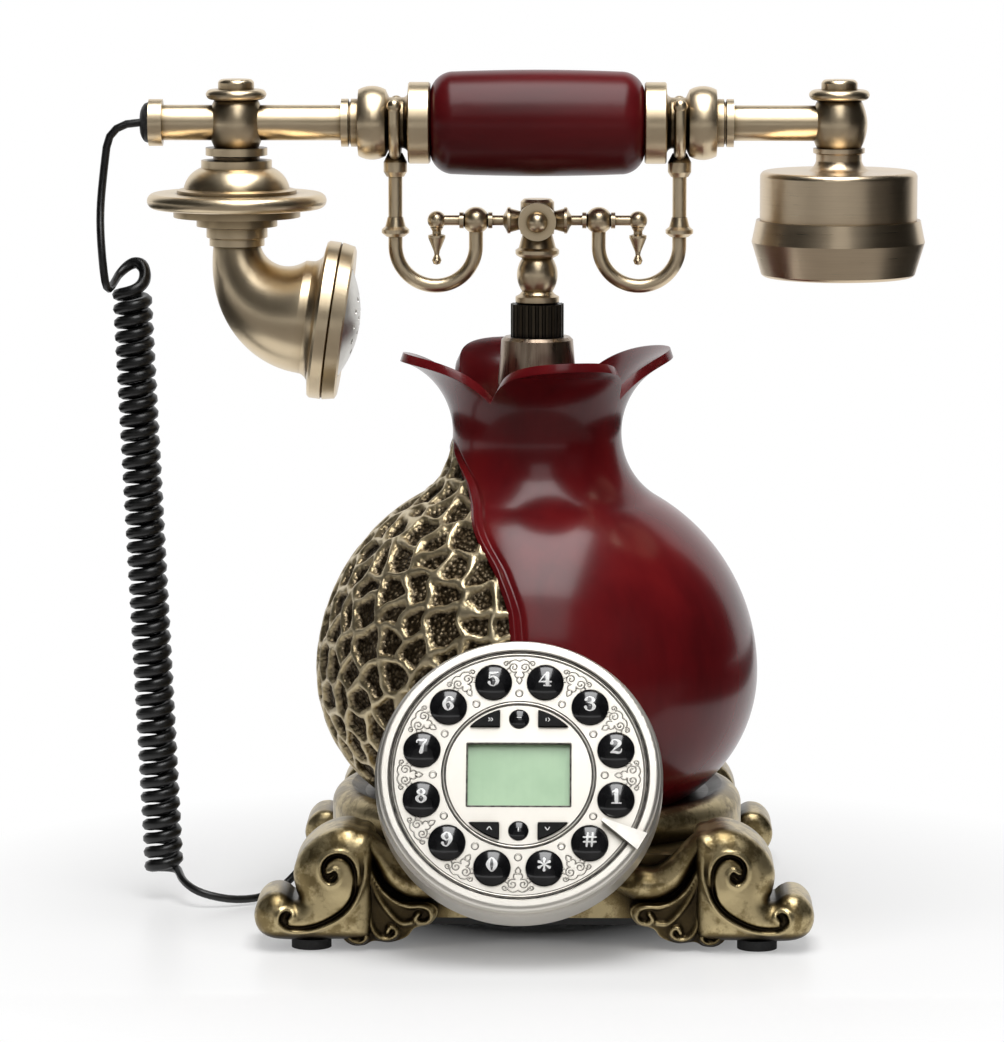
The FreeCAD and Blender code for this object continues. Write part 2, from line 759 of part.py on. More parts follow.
for index, (x, y) in enumerate(SCREWS):
    pocket(
        plinth_body,
        f"screw_hole_{index}",
        lambda s, x=x, y=y: ring(s, x, y, d.screw_radius + d.screw_gap),
        d.screw_length,
        flip=True,
    )
place(plinth_body, centre(0, 0, d.plinth_bottom))
side_middle = (d.plinth_front_half + d.plinth_rear_half) / 2
jack_depth = 12.0
jack_side = box(
    "jack_seat_left",
    jack_depth + 6.2,
    d.jack_width + d.fit_gap * 2,
    d.jack_tall + d.fit_gap * 2,
    (-side_middle - 6, d.axis_back - d.jack_width / 2 - d.fit_gap, d.plinth_bottom + 2),
)
jack_rear = box(
    "jack_seat_rear",
    d.jack_width + d.fit_gap * 2,
    12.0,
    d.jack_tall + d.fit_gap * 2,
    (
        -d.jack_width / 2 - d.fit_gap,
        d.axis_back + d.plinth_half_depth - d.plinth_wall - 1,
        d.plinth_bottom + 2,
    ),
)
plinth_seats = fuse("plinth_seats", [dial_seat, jack_side, jack_rear])
node("base_plinth", cut("base_plinth", plinth_body, plinth_seats))

# Bottom cover with posts for the board, and its screws.
cover_body = new_body("bottom_cover")
pad(cover_body, "cover", plinth_outline(d.cover_inset, 7.0), d.cover_thickness)
for index, (x, y) in enumerate(SCREWS):
    pocket(
        cover_body,
        f"cover_hole_{index}",
        lambda s, x=x, y=y: ring(s, x, y, d.screw_radius + d.screw_gap),
        d.cover_thickness,
        flip=True,
    )
    pocket(
        cover_body,
        f"cover_sink_{index}",
        lambda s, x=x, y=y: ring(s, x, y, d.screw_head_radius + d.screw_gap),
        d.screw_head_height,
        flip=True,
    )
for side, label in ((1, "right"), (-1, "left")):
    notch = rectangle(notch_inner * side, -notch_back, (notch_inner + 40) * side, -notch_back - 40)
    pocket(cover_body, f"cover_front_{label}", lambda s, c=notch: outline(s, c), 60.0, flip=True)
    rear_inner = notch_inner - d.rear_inset
    notch = rectangle(rear_inner * side, notch_back, (rear_inner + 40) * side, notch_back + 40)
    pocket(cover_body, f"cover_rear_{label}", lambda s, c=notch: outline(s, c), 60.0, flip=True)
board_wide = 60.0
board_deep = 48.0
post_sketch = new_sketch(cover_body, "posts_outline", "XY_Plane")
for x in (4 - board_wide / 2, board_wide / 2 - 4):
    for y in (-4.0, board_deep - 12):
        ring(post_sketch, x, y, 3.0)
posts = cover_body.newObject("PartDesign::Pad", "posts_pad")
posts.Profile = post_sketch
posts.Length = float(d.cover_thickness) + 3
bind(posts, "Length", d.cover_thickness + 3)
place(cover_body, centre(0, 0, d.plinth_bottom - d.cover_thickness))
node("bottom_cover", cover_body)
screws = []
for index, (x, y) in enumerate(SCREWS):
    screws.append(
        turned(
            f"screw_{index}",
            [
                (0, 0),
                (d.screw_head_radius, 0),
                (d.screw_head_radius, d.screw_head_height),
                (d.screw_radius, d.screw_head_height),
                (d.screw_radius, d.screw_length),
                (0, d.screw_length),
            ],
            centre(x, y, d.plinth_bottom - d.cover_thickness),
        )
    )
node("cover_screws", group("cover_screws", screws))
board_height = d.plinth_bottom + 3
node(
    "main_board",
    box("main_board", board_wide, board_deep, d.board_thickness, centre(-board_wide / 2, -8.0, board_height)),
)
node(
    "ringer_sounder",
    turned(
        "ringer_sounder",
        [(0, 0), (11, 0), (11, 6), (8, 6), (8, 7), (0, 7)],
        centre(12.0, 22.0, board_height + d.board_thickness),
    ),
)


jack_mouth = 9.0


def jack(name, at, axis, angle):
    """A modular jack: a block with a plug opening in its front."""
    body = new_body(name)
    half = d.jack_width / 2
    pad(body, name, rectangle(-half, 0, half, d.jack_tall), jack_depth, "XZ_Plane")
    opening = rectangle(-half + 1.2, 2.2, half - 1.2, d.jack_tall - 2.2)
    pocket(body, f"{name}_mouth", lambda s: outline(s, opening), jack_mouth, jack_depth, "XZ_Plane")
    return place(body, at, axis, angle)


jack_base = d.plinth_bottom + 2
jacks = [
    jack("handset_jack", (-side_middle + jack_depth, d.axis_back, jack_base), Z_AXIS, -90.0),
    jack("line_jack", (0, d.axis_back + d.plinth_half_depth - 12.5, jack_base), Z_AXIS, 180.0),
]
node("modular_jacks", group("modular_jacks", jacks))

# A scroll foot: carved S outline, grooved volutes, a fan of three leaf lobes.
foot_body = new_body("foot_blank")
shoulder_low = (d.shoulder_x + d.shoulder_radius * 0.67, d.shoulder_height - d.shoulder_radius * 0.7424)
toe_height = d.foot_bottom + d.toe_radius
toe_top = (d.toe_x - d.toe_radius * 0.78, toe_height + d.toe_radius * 0.6258)
pad(
    foot_body,
    "foot",
    [
        (d.foot_inner, d.shoulder_height + 1),
        (d.toe_x - 11, d.foot_bottom, 30),
        (d.toe_x, d.foot_bottom),
        (d.toe_x + d.toe_radius, toe_height, d.toe_radius),
        (d.toe_x, toe_height + d.toe_radius, d.toe_radius),
        (*toe_top, d.toe_radius),
        shoulder_low,
        (d.shoulder_x + d.shoulder_radius, d.shoulder_height, d.shoulder_radius),
        (d.shoulder_x, d.shoulder_height + d.shoulder_radius, d.shoulder_radius),
        (d.foot_inner, d.shoulder_height + d.shoulder_radius - 1.5, d.shoulder_radius * 1.4),
    ],
    d.foot_depth,
    "XZ_Plane",
)
place(foot_body, (0, d.axis_back - d.foot_front + d.foot_depth, 0))


def volute(x, z, start_radius, turns, clockwise):
    """A groove along half circles that shrink towards the eye."""
    y = float(d.axis_back - d.foot_front) - 0.1
    sign = -1 if clockwise else 1
    edges = []
    radius = start_radius
    here = Vector(x, y, z + radius)
    upward = True
    for _ in range(turns):
        middle = here + Vector(0, 0, -radius if upward else radius)
        bulge = middle + Vector(-sign * radius if upward else sign * radius, 0, 0)
        end = middle * 2 - here
        edges.append(Part.Arc(here, bulge, end).toShape())
        here = end
        upward = not upward
        radius *= 0.72
    path = Part.Wire(edges)
    section = Part.Wire(Part.Circle(Vector(x, y, z + start_radius), X_AXIS, float(d.groove_radius)).toShape())
    return path.makePipeShell([section], True, False)


def lobe(points, radii):
    """A leaf lobe lofted through round sections, ending in a curl."""
    wires = []
    for index, (point, radius) in enumerate(zip(points, radii)):
        after = points[min(index + 1, len(points) - 1)]
        before = points[max(index - 1, 0)]
        wires.append(Part.Wire(Part.Circle(point, after - before, radius).toShape()))
    curl = Part.makeSphere(radii[-1] * 1.15, points[-1])
    return Part.makeLoft(wires, True, False).fuse(curl)


leaf_y = float(d.axis_back - d.foot_front) + 3.6
stem = float(d.foot_inner) + 2.5
LOBES = (
    ((0.0, 33.0), (-3.5, 25.0), (-9.5, 18.0), (-19.5, 13.0)),
    ((1.5, 31.0), (-1.0, 22.0), (-4.5, 14.0), (-11.5, 7.2)),
    ((3.0, 28.0), (2.8, 19.0), (1.8, 11.0), (-1.5, 4.6)),
)
LOBE_RADII = (1.3, 2.6, 3.3, 2.6)
volutes = [
    volute(float(d.shoulder_x) + 2.8, float(d.shoulder_height), 7.4, 3, False),
    volute(float(d.toe_x) - 0.6, float(toe_height), 4.2, 2, True),
]
groove_tool = made("foot_grooves", Part.makeCompound(volutes))
carved = cut("foot_carved", foot_body, groove_tool)
lobes = []
for index, points in enumerate(LOBES):
    spots = [Vector(stem + x, leaf_y, z) for x, z in points]
    lobes.append(made(f"leaf_lobe_{index}", lobe(spots, LOBE_RADII)))
foot = fuse("foot_right", [carved] + lobes)
node("feet_front", group("feet_front", [foot, mirrored("foot_left", foot)]))
rear_shape = fuse("foot_rear_shape", [carved] + lobes)
rear_mirror = mirrored("foot_rear_turned", rear_shape, Y_AXIS)
rear_right = doc.addObject("Part::Compound", "foot_rear_right")
rear_right.Links = [rear_mirror]
place(rear_right, (-d.rear_inset, 0, 0))
rear_left = mirrored("foot_rear_left", rear_right)
node("feet_rear", group("feet_rear", [rear_right, rear_left]))
pads = []
for index, (side, end) in enumerate(((1, -1), (-1, -1), (1, 1), (-1, 1))):
    across = d.pad_x if end < 0 else d.pad_x - d.rear_inset
    spot = centre(across * side, d.pad_y * end, 0)
    pads.append(cylinder(f"pad_{index}", d.pad_radius, d.foot_bottom, spot))
node("rubber_pads", group("rubber_pads", pads))

# The dial: stepped round housing with a neck into the body, face plate, keys, display and board.
ledge_radius = d.board_radius - 2.5
cavity = d.bezel_inner - 1.8
node(
    "dial_housing",
    dial_turned(
        "dial_housing",
        [
            (d.dial_neck_radius - d.dial_wall, -d.dial_neck_end),
            (d.dial_neck_radius, -d.dial_neck_end),
            (d.dial_neck_radius, -d.dial_depth),
            (d.dial_radius - 1.5, -d.dial_depth),
            (d.dial_radius, -d.dial_depth + 1.5, 1.5),
            (d.dial_radius, -4.6),
            (d.dial_radius - 0.9, -4.0),
            (d.dial_radius - 0.9, -1.6),
            (d.dial_radius - 2.5, 0, 1.6),
            (d.bezel_inner + 0.4, 0),
            (d.bezel_inner, -0.3),
            (d.bezel_inner, -d.face_sink - d.face_thickness),
            (cavity, -d.face_sink - d.face_thickness),
            (cavity, -d.board_depth - d.board_thickness),
            (ledge_radius, -d.board_depth - d.board_thickness),
            (ledge_radius, -d.dial_depth + d.dial_wall),
            (d.dial_neck_radius - d.dial_wall, -d.dial_depth + d.dial_wall),
        ],
    ),
)
face_body = new_body("dial_face")
face_top = -d.face_sink
face_under = -d.face_sink - d.face_thickness
revolve(
    face_body,
    "face",
    [
        (0, face_under),
        (d.bezel_inner - 0.3, face_under),
        (d.bezel_inner - 0.3, face_top - 0.4),
        (d.bezel_inner - 0.7, face_top),
        (0, face_top),
    ],
)
FIRST_KEY = 15.0
key_hole = pocket(
    face_body,
    "key_hole",
    lambda s: ring(
        s,
        d.key_circle * math.cos(math.radians(FIRST_KEY)),
        d.key_circle * math.sin(math.radians(FIRST_KEY)),
        d.key_radius + d.key_gap,
    ),
    10.0,
    2.0,
)
doc.recompute()
holes = face_body.newObject("PartDesign::PolarPattern", "key_holes")
holes.Originals = [key_hole]
holes.Axis = (key_hole.Profile[0], ["N_Axis"])
holes.Angle = 360
holes.Occurrences = 12
face_body.Tip = holes


def side_key(inset, side, end):
    """A side function key: a base line, an inner line and an arc of the dial's ring."""
    arm = d.side_key_ring - inset
    inner = d.side_key_inner + inset
    low = d.side_key_base + inset
    top = (arm * arm - inner * inner).root()
    wide = (arm * arm - low * low).root()
    turn = arm if side * end < 0 else -arm
    return [
        (inner * side, low * end),
        (inner * side, top * end),
        (wide * side, low * end, turn),
    ]


def face_opening(name, draw):
    pocket(face_body, name, draw, 10.0, 2.0)


SMALL_KEYS = (
    ("key_redial", -1, 1),
    ("key_set", 0, 1),
    ("key_speaker", 1, 1),
    ("key_up", -1, -1),
    ("key_out", 0, -1),
    ("key_down", 1, -1),
)
for name, side, end in SMALL_KEYS:
    if side:
        face_opening(f"{name}_hole", lambda s, a=side, b=end: outline(s, side_key(0, a, b)))
    else:
        row_y = d.small_key_row * end
        face_opening(f"{name}_hole", lambda s, y=row_y: ring(s, 0, y, d.small_key_radius + d.key_gap))
window_corners = rectangle(-d.display_width / 2, -d.display_tall / 2, d.display_width / 2, d.display_tall / 2)
face_opening("display_hole", lambda s: outline(s, window_corners))
place(face_body, on_dial(0, 0, 0), X_AXIS, tilt_angle)
node("dial_face", face_body)

KEYS = [f"key_{sign}" for sign in ("2", "3", "4", "5", "6", "7", "8", "9", "0", "star", "hash", "1")]
flange_low = face_under - d.key_flange_height
for index, name in enumerate(KEYS):
    angle = math.radians(FIRST_KEY + 30 * index)
    key = dial_turned(
        name,
        [
            (0, flange_low),
            (d.key_radius + d.key_flange, flange_low),
            (d.key_radius + d.key_flange, face_under),
            (d.key_radius, face_under),
            (d.key_radius, 0),
            (0, d.key_rise, d.key_radius * d.key_radius / d.key_rise / 2 + d.key_rise / 2),
        ],
        d.key_circle * math.cos(angle),
        d.key_circle * math.sin(angle),
    )
    node(name, key)
small_key_top = d.key_rise - 1.3
small_dome = d.small_key_radius * d.small_key_radius / d.small_key_rise / 2 + d.small_key_rise / 2
for name, side, end in SMALL_KEYS:
    if side:
        body = new_body(name)
        pad(body, f"{name}_flange", side_key(-d.key_flange, side, end), d.key_flange_height)
        top = d.key_flange_height + d.face_thickness + d.face_sink + 0.4
        pad(body, name, side_key(d.key_gap, side, end), top)
        place(body, on_dial(0, 0, flange_low), X_AXIS, tilt_angle)
    else:
        body = dial_turned(
            name,
            [
                (0, flange_low),
                (d.small_key_radius + 0.8, flange_low),
                (d.small_key_radius + 0.8, face_under),
                (d.small_key_radius, face_under),
                (d.small_key_radius, small_key_top - d.small_key_rise),
                (0, small_key_top, small_dome),
            ],
            0.0,
            d.small_key_row * end,
        )
    node(name, body)

node("key_board", dial_turned("key_board", [
    (0, -d.board_depth - d.board_thickness),
    (d.board_radius, -d.board_depth - d.board_thickness),
    (d.board_radius, -d.board_depth),
    (0, -d.board_depth),
]))
module_body = new_body("display_module")
module_x = d.display_width / 2 + d.display_rim
module_y = d.display_tall / 2 + d.display_rim
pad(module_body, "module", rectangle(-module_x, -module_y, module_x, module_y), d.board_depth + face_under)
place(module_body, on_dial(0, 0, -d.board_depth), X_AXIS, tilt_angle)
node("display_module", module_body)
stop_body = new_body("finger_stop")
pad(
    stop_body,
    "stop",
    [(d.stop_tip, -0.5), (d.stop_end, -d.stop_width / 2), (d.stop_end, d.stop_width / 2), (d.stop_tip, 0.5)],
    d.stop_height,
)
stop_lay = Rotation(X_AXIS, float(tilt_angle)) * Rotation(Z_AXIS, -30)
stop_spot = [float(v) for v in on_dial(0, 0, 0)]
stop_body.Placement = Placement(Vector(*stop_spot), stop_lay)
node("finger_stop", stop_body)

# The hook: socket in the crown, splined plunger, return spring and switch.
socket_base = core_top
plunger_bottom = socket_base + d.socket_floor + d.spring_room
plunger_top = socket_base + d.socket_height + d.spline_show
rod_bottom = plunger_bottom - d.rod_length
bore = d.plunger_radius + d.plunger_gap
rod_bore = d.rod_radius + d.plunger_gap
node(
    "hook_socket",
    turned(
        "hook_socket",
        [
            (rod_bore, -6),
            (d.rod_radius + 3, -6),
            (d.rod_radius + 3, 0),
            (d.socket_flange, 0),
            (d.socket_flange, 2),
            (d.socket_foot, 3.5),
            (d.socket_top, d.socket_height - 1),
            (d.socket_top - 1, d.socket_height),
            (bore, d.socket_height),
            (bore, d.socket_floor),
            (rod_bore, d.socket_floor),
        ],
        centre(0, 0, socket_base),
    ),
)
plunger_body = new_body("spline_plunger")
spline_height = plunger_top - plunger_bottom
revolve(
    plunger_body,
    "plunger",
    [
        (0, 0),
        (d.rod_radius, 0),
        (d.rod_radius, d.rod_length),
        (d.plunger_radius, d.rod_length),
        (d.plunger_radius, d.rod_length + spline_height),
        (0, d.rod_length + spline_height),
    ],
)
groove = pocket(
    plunger_body,
    "spline",
    lambda s: ring(s, d.plunger_radius, 0, d.spline_groove),
    spline_height,
    d.rod_length + spline_height,
)
doc.recompute()
splines = plunger_body.newObject("PartDesign::PolarPattern", "splines")
splines.Originals = [groove]
splines.Axis = (groove.Profile[0], ["N_Axis"])
splines.Angle = 360
splines.Occurrences = 24
plunger_body.Tip = splines
place(plunger_body, centre(0, 0, rod_bottom))
node("spline_plunger", plunger_body)

spring_floor = float(socket_base + d.socket_floor + d.spring_wire / 2)
spring_rise = float(plunger_bottom - d.spring_wire / 2) - spring_floor
helix = Part.makeHelix(spring_rise / float(d.spring_turns), spring_rise, float(d.spring_radius))
spring_round = Part.Circle(Vector(float(d.spring_radius), 0, 0), Y_AXIS, float(d.spring_wire) / 2)
spring_section = Part.Wire(spring_round.toShape())
spring = made("return_spring", Part.Wire(helix.Edges).makePipeShell([spring_section], True, True))
node("return_spring", place(spring, centre(0, 0, socket_base + d.socket_floor + d.spring_wire / 2)))

switch_body = new_body("hook_switch")
pad(switch_body, "bracket", [
    (8, 0), (10, 0), (10, plate_under - rod_bottom + 14), (18, plate_under - rod_bottom + 14),
    (18, plate_under - rod_bottom + 16), (8, plate_under - rod_bottom + 16),
], 10.0, "XZ_Plane")
switch_block = box("switch_block", 20.0, 6.5, 12.0, (-12.0, d.axis_back - 3.25, rod_bottom - 16))
switch_button = cylinder("switch_button", 1.5, 4.0, centre(0, 0, rod_bottom - 4))
place(switch_body, (0, d.axis_back + 5, rod_bottom - 16))
node("hook_switch", fuse("hook_switch", [switch_body, switch_block, switch_button]))

# The cradle: turned column with a cross, two U-hook arms with drop finials, two forks.
cross_z = plunger_top + d.cross_rise
vase_low, vase_high = 4.2, 15.2
vase_neck = 5.1
vase_bow = d.column_ball - vase_neck
vase_half = (vase_high - vase_low) / 2
vase_curve = vase_half * vase_half / vase_bow / 2 + vase_bow / 2
column = turned(
    "column",
    [
        (0, 0),
        (d.column_ring - 0.6, 0),
        (d.column_ring, 0.7),
        (d.column_ring, 2.4),
        (d.column_ring - 1.4, 3.2),
        (vase_neck, vase_low),
        (d.column_ball, vase_low + vase_half, vase_curve),
        (vase_neck, vase_high, vase_curve),
        (d.column_ring - 0.4, vase_high + 1),
        (d.column_ring, vase_high + 1.6),
        (d.column_ring, vase_high + 2.8),
        (d.column_ring - 1.1, vase_high + 3.6),
        (d.cross_radius - 0.6, d.cross_rise - 4.8),
        (d.cross_radius, d.cross_rise - 4.4),
        (d.cross_radius, d.cross_rise + 6.2),
        (d.cross_radius - 1, d.cross_rise + 7.2),
        (0, d.cross_rise + 7.2),
    ],
    centre(0, 0, plunger_top),
)
bar_length = d.arm_start * 2
bosses = [
    cylinder("boss_front", d.boss_radius, 17.0, centre(0, 8.5, cross_z), X_AXIS, 90.0),
    sphere("boss_ball_front", d.boss_ball, centre(0, -8.5, cross_z)),
    sphere("boss_ball_rear", d.boss_ball, centre(0, 8.5, cross_z)),
    turned(
        "cross_bar",
        [(0, 0), (4.0, 0), (2.9, 4.0), (2.9, bar_length - 4.0), (4.0, bar_length), (0, bar_length)],
        centre(-d.arm_start, 0, cross_z),
        Y_AXIS,
        90.0,
    ),
]
node("cradle_column", fuse("cradle_column", [column] + bosses))


def on_arm(across):
    """A place on an arm's rod."""
    return centre(across, 0, cross_z)


arm_root = turned(
    "arm_root",
    [
        (0, 0),
        (4.4, 0),
        (4.4, 0.9),
        (2.7, 1.7),
        (d.arm_rod, 2.4),
        (d.arm_rod, d.finial_x - d.arm_start),
        (0, d.finial_x - d.arm_start),
    ],
    on_arm(d.arm_start),
    Y_AXIS,
    90.0,
)
hook_span = (d.hook_x - d.arm_ball_x) / 2
hook_mid = d.hook_x - hook_span
hook_turn = cross_z - d.hook_drop + hook_span
handset_height = cross_z + d.handset_rise
fork_base = handset_height - d.fork_drop
half_ring = doc.addObject("Part::Torus", "hook_ring")
half_ring.Radius1 = float(hook_span)
half_ring.Radius2 = float(d.hook_tube)
bind(half_ring, "Radius1", hook_span)
bind(half_ring, "Radius2", d.hook_tube)
half_ring.Angle3 = 180
place(half_ring, centre(hook_mid, 0, hook_turn), X_AXIS, -90.0)
arm_parts = [
    arm_root,
    sphere("arm_ball", d.arm_ball, on_arm(d.arm_ball_x)),
    cylinder("arm_collar_inner", d.arm_rod + 1.0, 1.4, on_arm(d.arm_ball_x - d.arm_ball - 1), Y_AXIS, 90.0),
    cylinder("arm_collar_outer", d.arm_rod + 1.0, 1.4, on_arm(d.arm_ball_x + d.arm_ball - 0.4), Y_AXIS, 90.0),
    sphere("finial_top", d.finial_ball, on_arm(d.finial_x)),
    turned(
        "finial",
        [
            (0, 0),
            (1.1, 0.4),
            (1.6, 1.6),
            (1.1, 2.8),
            (0.8, 3.4),
            (1.0, 4.6),
            (2.9, 9.2),
            (2.9, 10),
            (1.5, 10.4),
            (1.5, 11.4),
            (2.2, 12.6),
            (0, 12.6),
        ],
        centre(d.finial_x, 0, cross_z - 15),
    ),
    half_ring,
    cylinder("hook_inner", d.hook_tube, cross_z - hook_turn, centre(d.arm_ball_x, 0, hook_turn)),
    cylinder("hook_outer", d.hook_tube, fork_base - hook_turn, centre(d.hook_x, 0, hook_turn)),
    turned(
        "hook_collar",
        [(0, 0), (3.0, 0), (d.hook_collar, 1.2), (d.hook_collar, 2.4), (3.4, 3.4), (2.6, 6.5), (0, 6.5)],
        centre(d.hook_x, 0, hook_turn + 3),
    ),
]
arm_right = fuse("cradle_arm_right", arm_parts)
node("cradle_arm_right", arm_right)
node("cradle_arm_left", mirrored("cradle_arm_left", arm_right))

saddle = d.neck_turn_radius + d.fork_gap
saddle_line = saddle + d.fork_rod
saddle_height = handset_height + d.fork_gap - d.rest_gap
fork_ring = doc.addObject("Part::Torus", "fork_ring")
fork_ring.Radius1 = float(saddle_line)
fork_ring.Radius2 = float(d.fork_rod)
bind(fork_ring, "Radius1", saddle_line)
bind(fork_ring, "Radius2", d.fork_rod)
fork_ring.Angle3 = 180
fork_ring.Placement = Placement(
    Vector(float(d.hook_x), float(d.axis_back), float(saddle_height)),
    Rotation(Vector(0, 1, 0), Vector(0, 0, 0), Vector(1, 0, 0), "ZXY") * Rotation(Z_AXIS, 180),
)
prong_height = handset_height + d.prong_rise - saddle_height
cup_top = saddle_height - saddle_line + 0.5
fork_parts = [
    fork_ring,
    turned(
        "fork_cup",
        [
            (0, 0),
            (2.9, 0),
            (d.fork_cup, 1.6),
            (d.fork_cup, cup_top - fork_base - 3),
            (2.4, cup_top - fork_base),
            (0, cup_top - fork_base),
        ],
        centre(d.hook_x, 0, fork_base),
    ),
]
for label, side in (("front", -1), ("rear", 1)):
    foot = centre(d.hook_x, saddle_line * side, saddle_height)
    tip = centre(d.hook_x, saddle_line * side, saddle_height + prong_height)
    fork_parts.append(cylinder(f"prong_{label}", d.fork_rod, prong_height, foot))
    fork_parts.append(sphere(f"prong_tip_{label}", d.fork_rod * 1.2, tip))
fork_right = fuse("cradle_fork_right", fork_parts)
node("cradle_fork_right", fork_right)
node("cradle_fork_left", mirrored("cradle_fork_left", fork_right))


# The handset: turned pieces along X on one axis, barrels upright at its ends.
def along(start):
    """A place on the handset's axis."""
    return centre(start, 0, handset_height)


grip_bore = d.tube_radius + d.tube_gap
grip_end = d.grip_radius - d.grip_round * 0.9
node(
    "handset_grip",
    turned(
        "handset_grip",
        [
            (grip_bore, 0),
            (grip_end, 0),
            (d.grip_radius - 0.6, d.grip_round, d.grip_round),
            (d.grip_radius, d.grip_half, d.grip_half * 20),
            (d.grip_radius - 0.6, d.grip_half * 2 - d.grip_round, d.grip_half * 20),
            (grip_end, d.grip_half * 2, d.grip_round),
            (grip_bore, d.grip_half * 2),
        ],
        along(-d.grip_half),
        Y_AXIS,
        90.0,
    ),
)


def ferrule(name, side):
    base = d.grip_half
    return turned(
        name,
        [
            (grip_bore, 0),
            (d.ferrule_radius - 0.5, 0),
            (d.ferrule_radius, 0.5),
            (d.ferrule_radius, d.ferrule_width - 0.4),
            (d.ferrule_radius - 0.5, d.ferrule_width),
            (d.neck_turn_radius + 2, d.ferrule_width),
            (d.neck_turn_radius, d.ferrule_width + 1.6, -2.2),
            (d.neck_turn_radius, d.neck_turn_end - base - 1.2),
            (d.bead_radius - 1.2, d.neck_turn_end - base),
            (d.bead_radius, (d.neck_turn_end + d.bead_end) / 2 - base, d.bead_end - d.neck_turn_end),
            (d.bead_radius - 1.2, d.bead_end - base, d.bead_end - d.neck_turn_end),
            (d.collar_radius, d.bead_end - base + 0.4),
            (d.collar_radius, d.bead_end - base + 2.4),
            (d.collar_radius - 1, d.bead_end - base + 2.7),
            (d.collar_radius - 1, d.bead_end - base + 3.1),
            (d.collar_radius, d.bead_end - base + 3.4),
            (d.collar_radius, d.collar_end - base),
            (grip_bore, d.collar_end - base),
        ],
        along(base * side),
        Y_AXIS,
        90.0 * side,
    )


node("grip_ferrules", group("grip_ferrules", [ferrule("ferrule_right", 1), ferrule("ferrule_left", -1)]))
tube_inner = d.grip_half - 12
tube_reach = d.barrel_x - d.barrel_radius + 2.4


def arm_tube(name, side):
    return turned(
        name,
        [
            (d.tube_bore, 0),
            (d.tube_radius, 0),
            (d.tube_radius, tube_reach - tube_inner),
            (d.tube_bore, tube_reach - tube_inner),
        ],
        along(tube_inner * side),
        Y_AXIS,
        90.0 * side,
    )


node("arm_tubes", group("arm_tubes", [arm_tube("tube_right", 1), arm_tube("tube_left", -1)]))


def barrel(name, x):
    """An upright barrel with a bead and a button on top."""
    bow = d.barrel_radius - d.barrel_end_radius
    bulge = d.barrel_half * d.barrel_half / bow / 2 + bow / 2
    return turned(
        name,
        [
            (d.wire_bore, -d.barrel_half),
            (d.barrel_end_radius, -d.barrel_half),
            (d.barrel_radius, 0, bulge),
            (d.barrel_end_radius, d.barrel_half - 0.8, bulge),
            (d.barrel_bead - 1.6, d.barrel_half - 0.6),
            (d.barrel_bead, d.barrel_half + 1.2, 1.9),
            (d.barrel_bead - 1.6, d.barrel_half + 2.8, 1.9),
            (d.barrel_button, d.barrel_half + 2.9),
            (d.barrel_button, d.barrel_half + 5.0),
            (d.barrel_button - 1.4, d.barrel_half + 6.2, 1.7),
            (0, d.barrel_half + 6.4),
            (0, d.barrel_half - 1),
            (d.wire_bore, d.barrel_half - 1),
        ],
        along(x),
    )


socket_long = 30.0
socket_bore = d.tube_radius + d.tube_gap
socket_start = along(tube_reach - socket_long)
tube_socket_right = cylinder("tube_socket_right", socket_bore, socket_long, socket_start, Y_AXIS, 90.0)
tube_socket_left = cylinder("tube_socket_left", socket_bore, socket_long, along(-tube_reach), Y_AXIS, 90.0)
wire_pass_right = cylinder("wire_pass_right", d.wire_bore, 30.0, along(d.barrel_x - 30), Y_AXIS, 90.0)
wire_pass_left = cylinder("wire_pass_left", d.wire_bore, 60.0, along(-d.barrel_x - 30), Y_AXIS, 90.0)
end_tube = turned(
    "end_tube",
    [
        (d.wire_bore, 0),
        (d.tube_radius, 0),
        (d.tube_radius, d.gland_start - d.barrel_x - 6),
        (d.gland_flange, d.gland_start - d.barrel_x - 6),
        (d.gland_flange, d.gland_end - d.barrel_x - 6),
        (d.wire_bore, d.gland_end - d.barrel_x - 6),
    ],
    along(-d.barrel_x - 6),
    Y_AXIS,
    -90.0,
)
mouth_whole = fuse("mouth_whole", [barrel("mouth_barrel_blank", -d.barrel_x), end_tube])
mouth_bores = fuse("mouth_bores", [tube_socket_left, wire_pass_left])
node("mouth_barrel", cut("mouth_barrel", mouth_whole, mouth_bores))
ear_bores = fuse("ear_bores", [tube_socket_right, wire_pass_right])
node("ear_barrel", cut("ear_barrel", barrel("ear_barrel_blank", d.barrel_x), ear_bores))
gland_out = 3.0
node(
    "cord_gland",
    turned(
        "cord_gland",
        [
            (0, -6),
            (d.wire_bore - 0.05, -6),
            (d.wire_bore - 0.05, 0),
            (d.gland_dome, 0),
            (d.gland_dome - 0.5, 1.4),
            (d.cord_radius + 1.2, gland_out, 5.5),
            (0, gland_out),
        ],
        along(-d.gland_end),
        Y_AXIS,
        -90.0,
    ),
)
mouth_top = -d.barrel_half
node(
    "mouth_stack",
    turned(
        "mouth_stack",
        [
            (d.wire_bore, mouth_top),
            (10.3, mouth_top),
            (10.3, -10.8),
            (7.8, -11.2),
            (7.8, -12.2),
            (11.8, -12.5),
            (11.8, -15),
            (d.mouth_dome, -21.8, -9.0),
            (20.0, -22.4),
            (20.0, -23.5),
            (d.saucer_radius - 2, -23.5),
            (d.saucer_radius, -26, -2.6),
            (d.saucer_radius - 2, -28.5, -2.6),
            (d.saucer_step, -29),
            (d.saucer_step, -31.4),
            (13.5, -31.9),
            (13.5, -34.5),
            (10.2, -35),
            (10.2, -38.2),
            (9.2, -38.6),
            (9.2, -41),
            (d.wire_bore, -41),
        ],
        along(-d.barrel_x),
    ),
)
horn_top = handset_height - 41
horn_z = float(horn_top)
bend = float(d.horn_bend)
turn = math.radians(float(d.horn_turn))


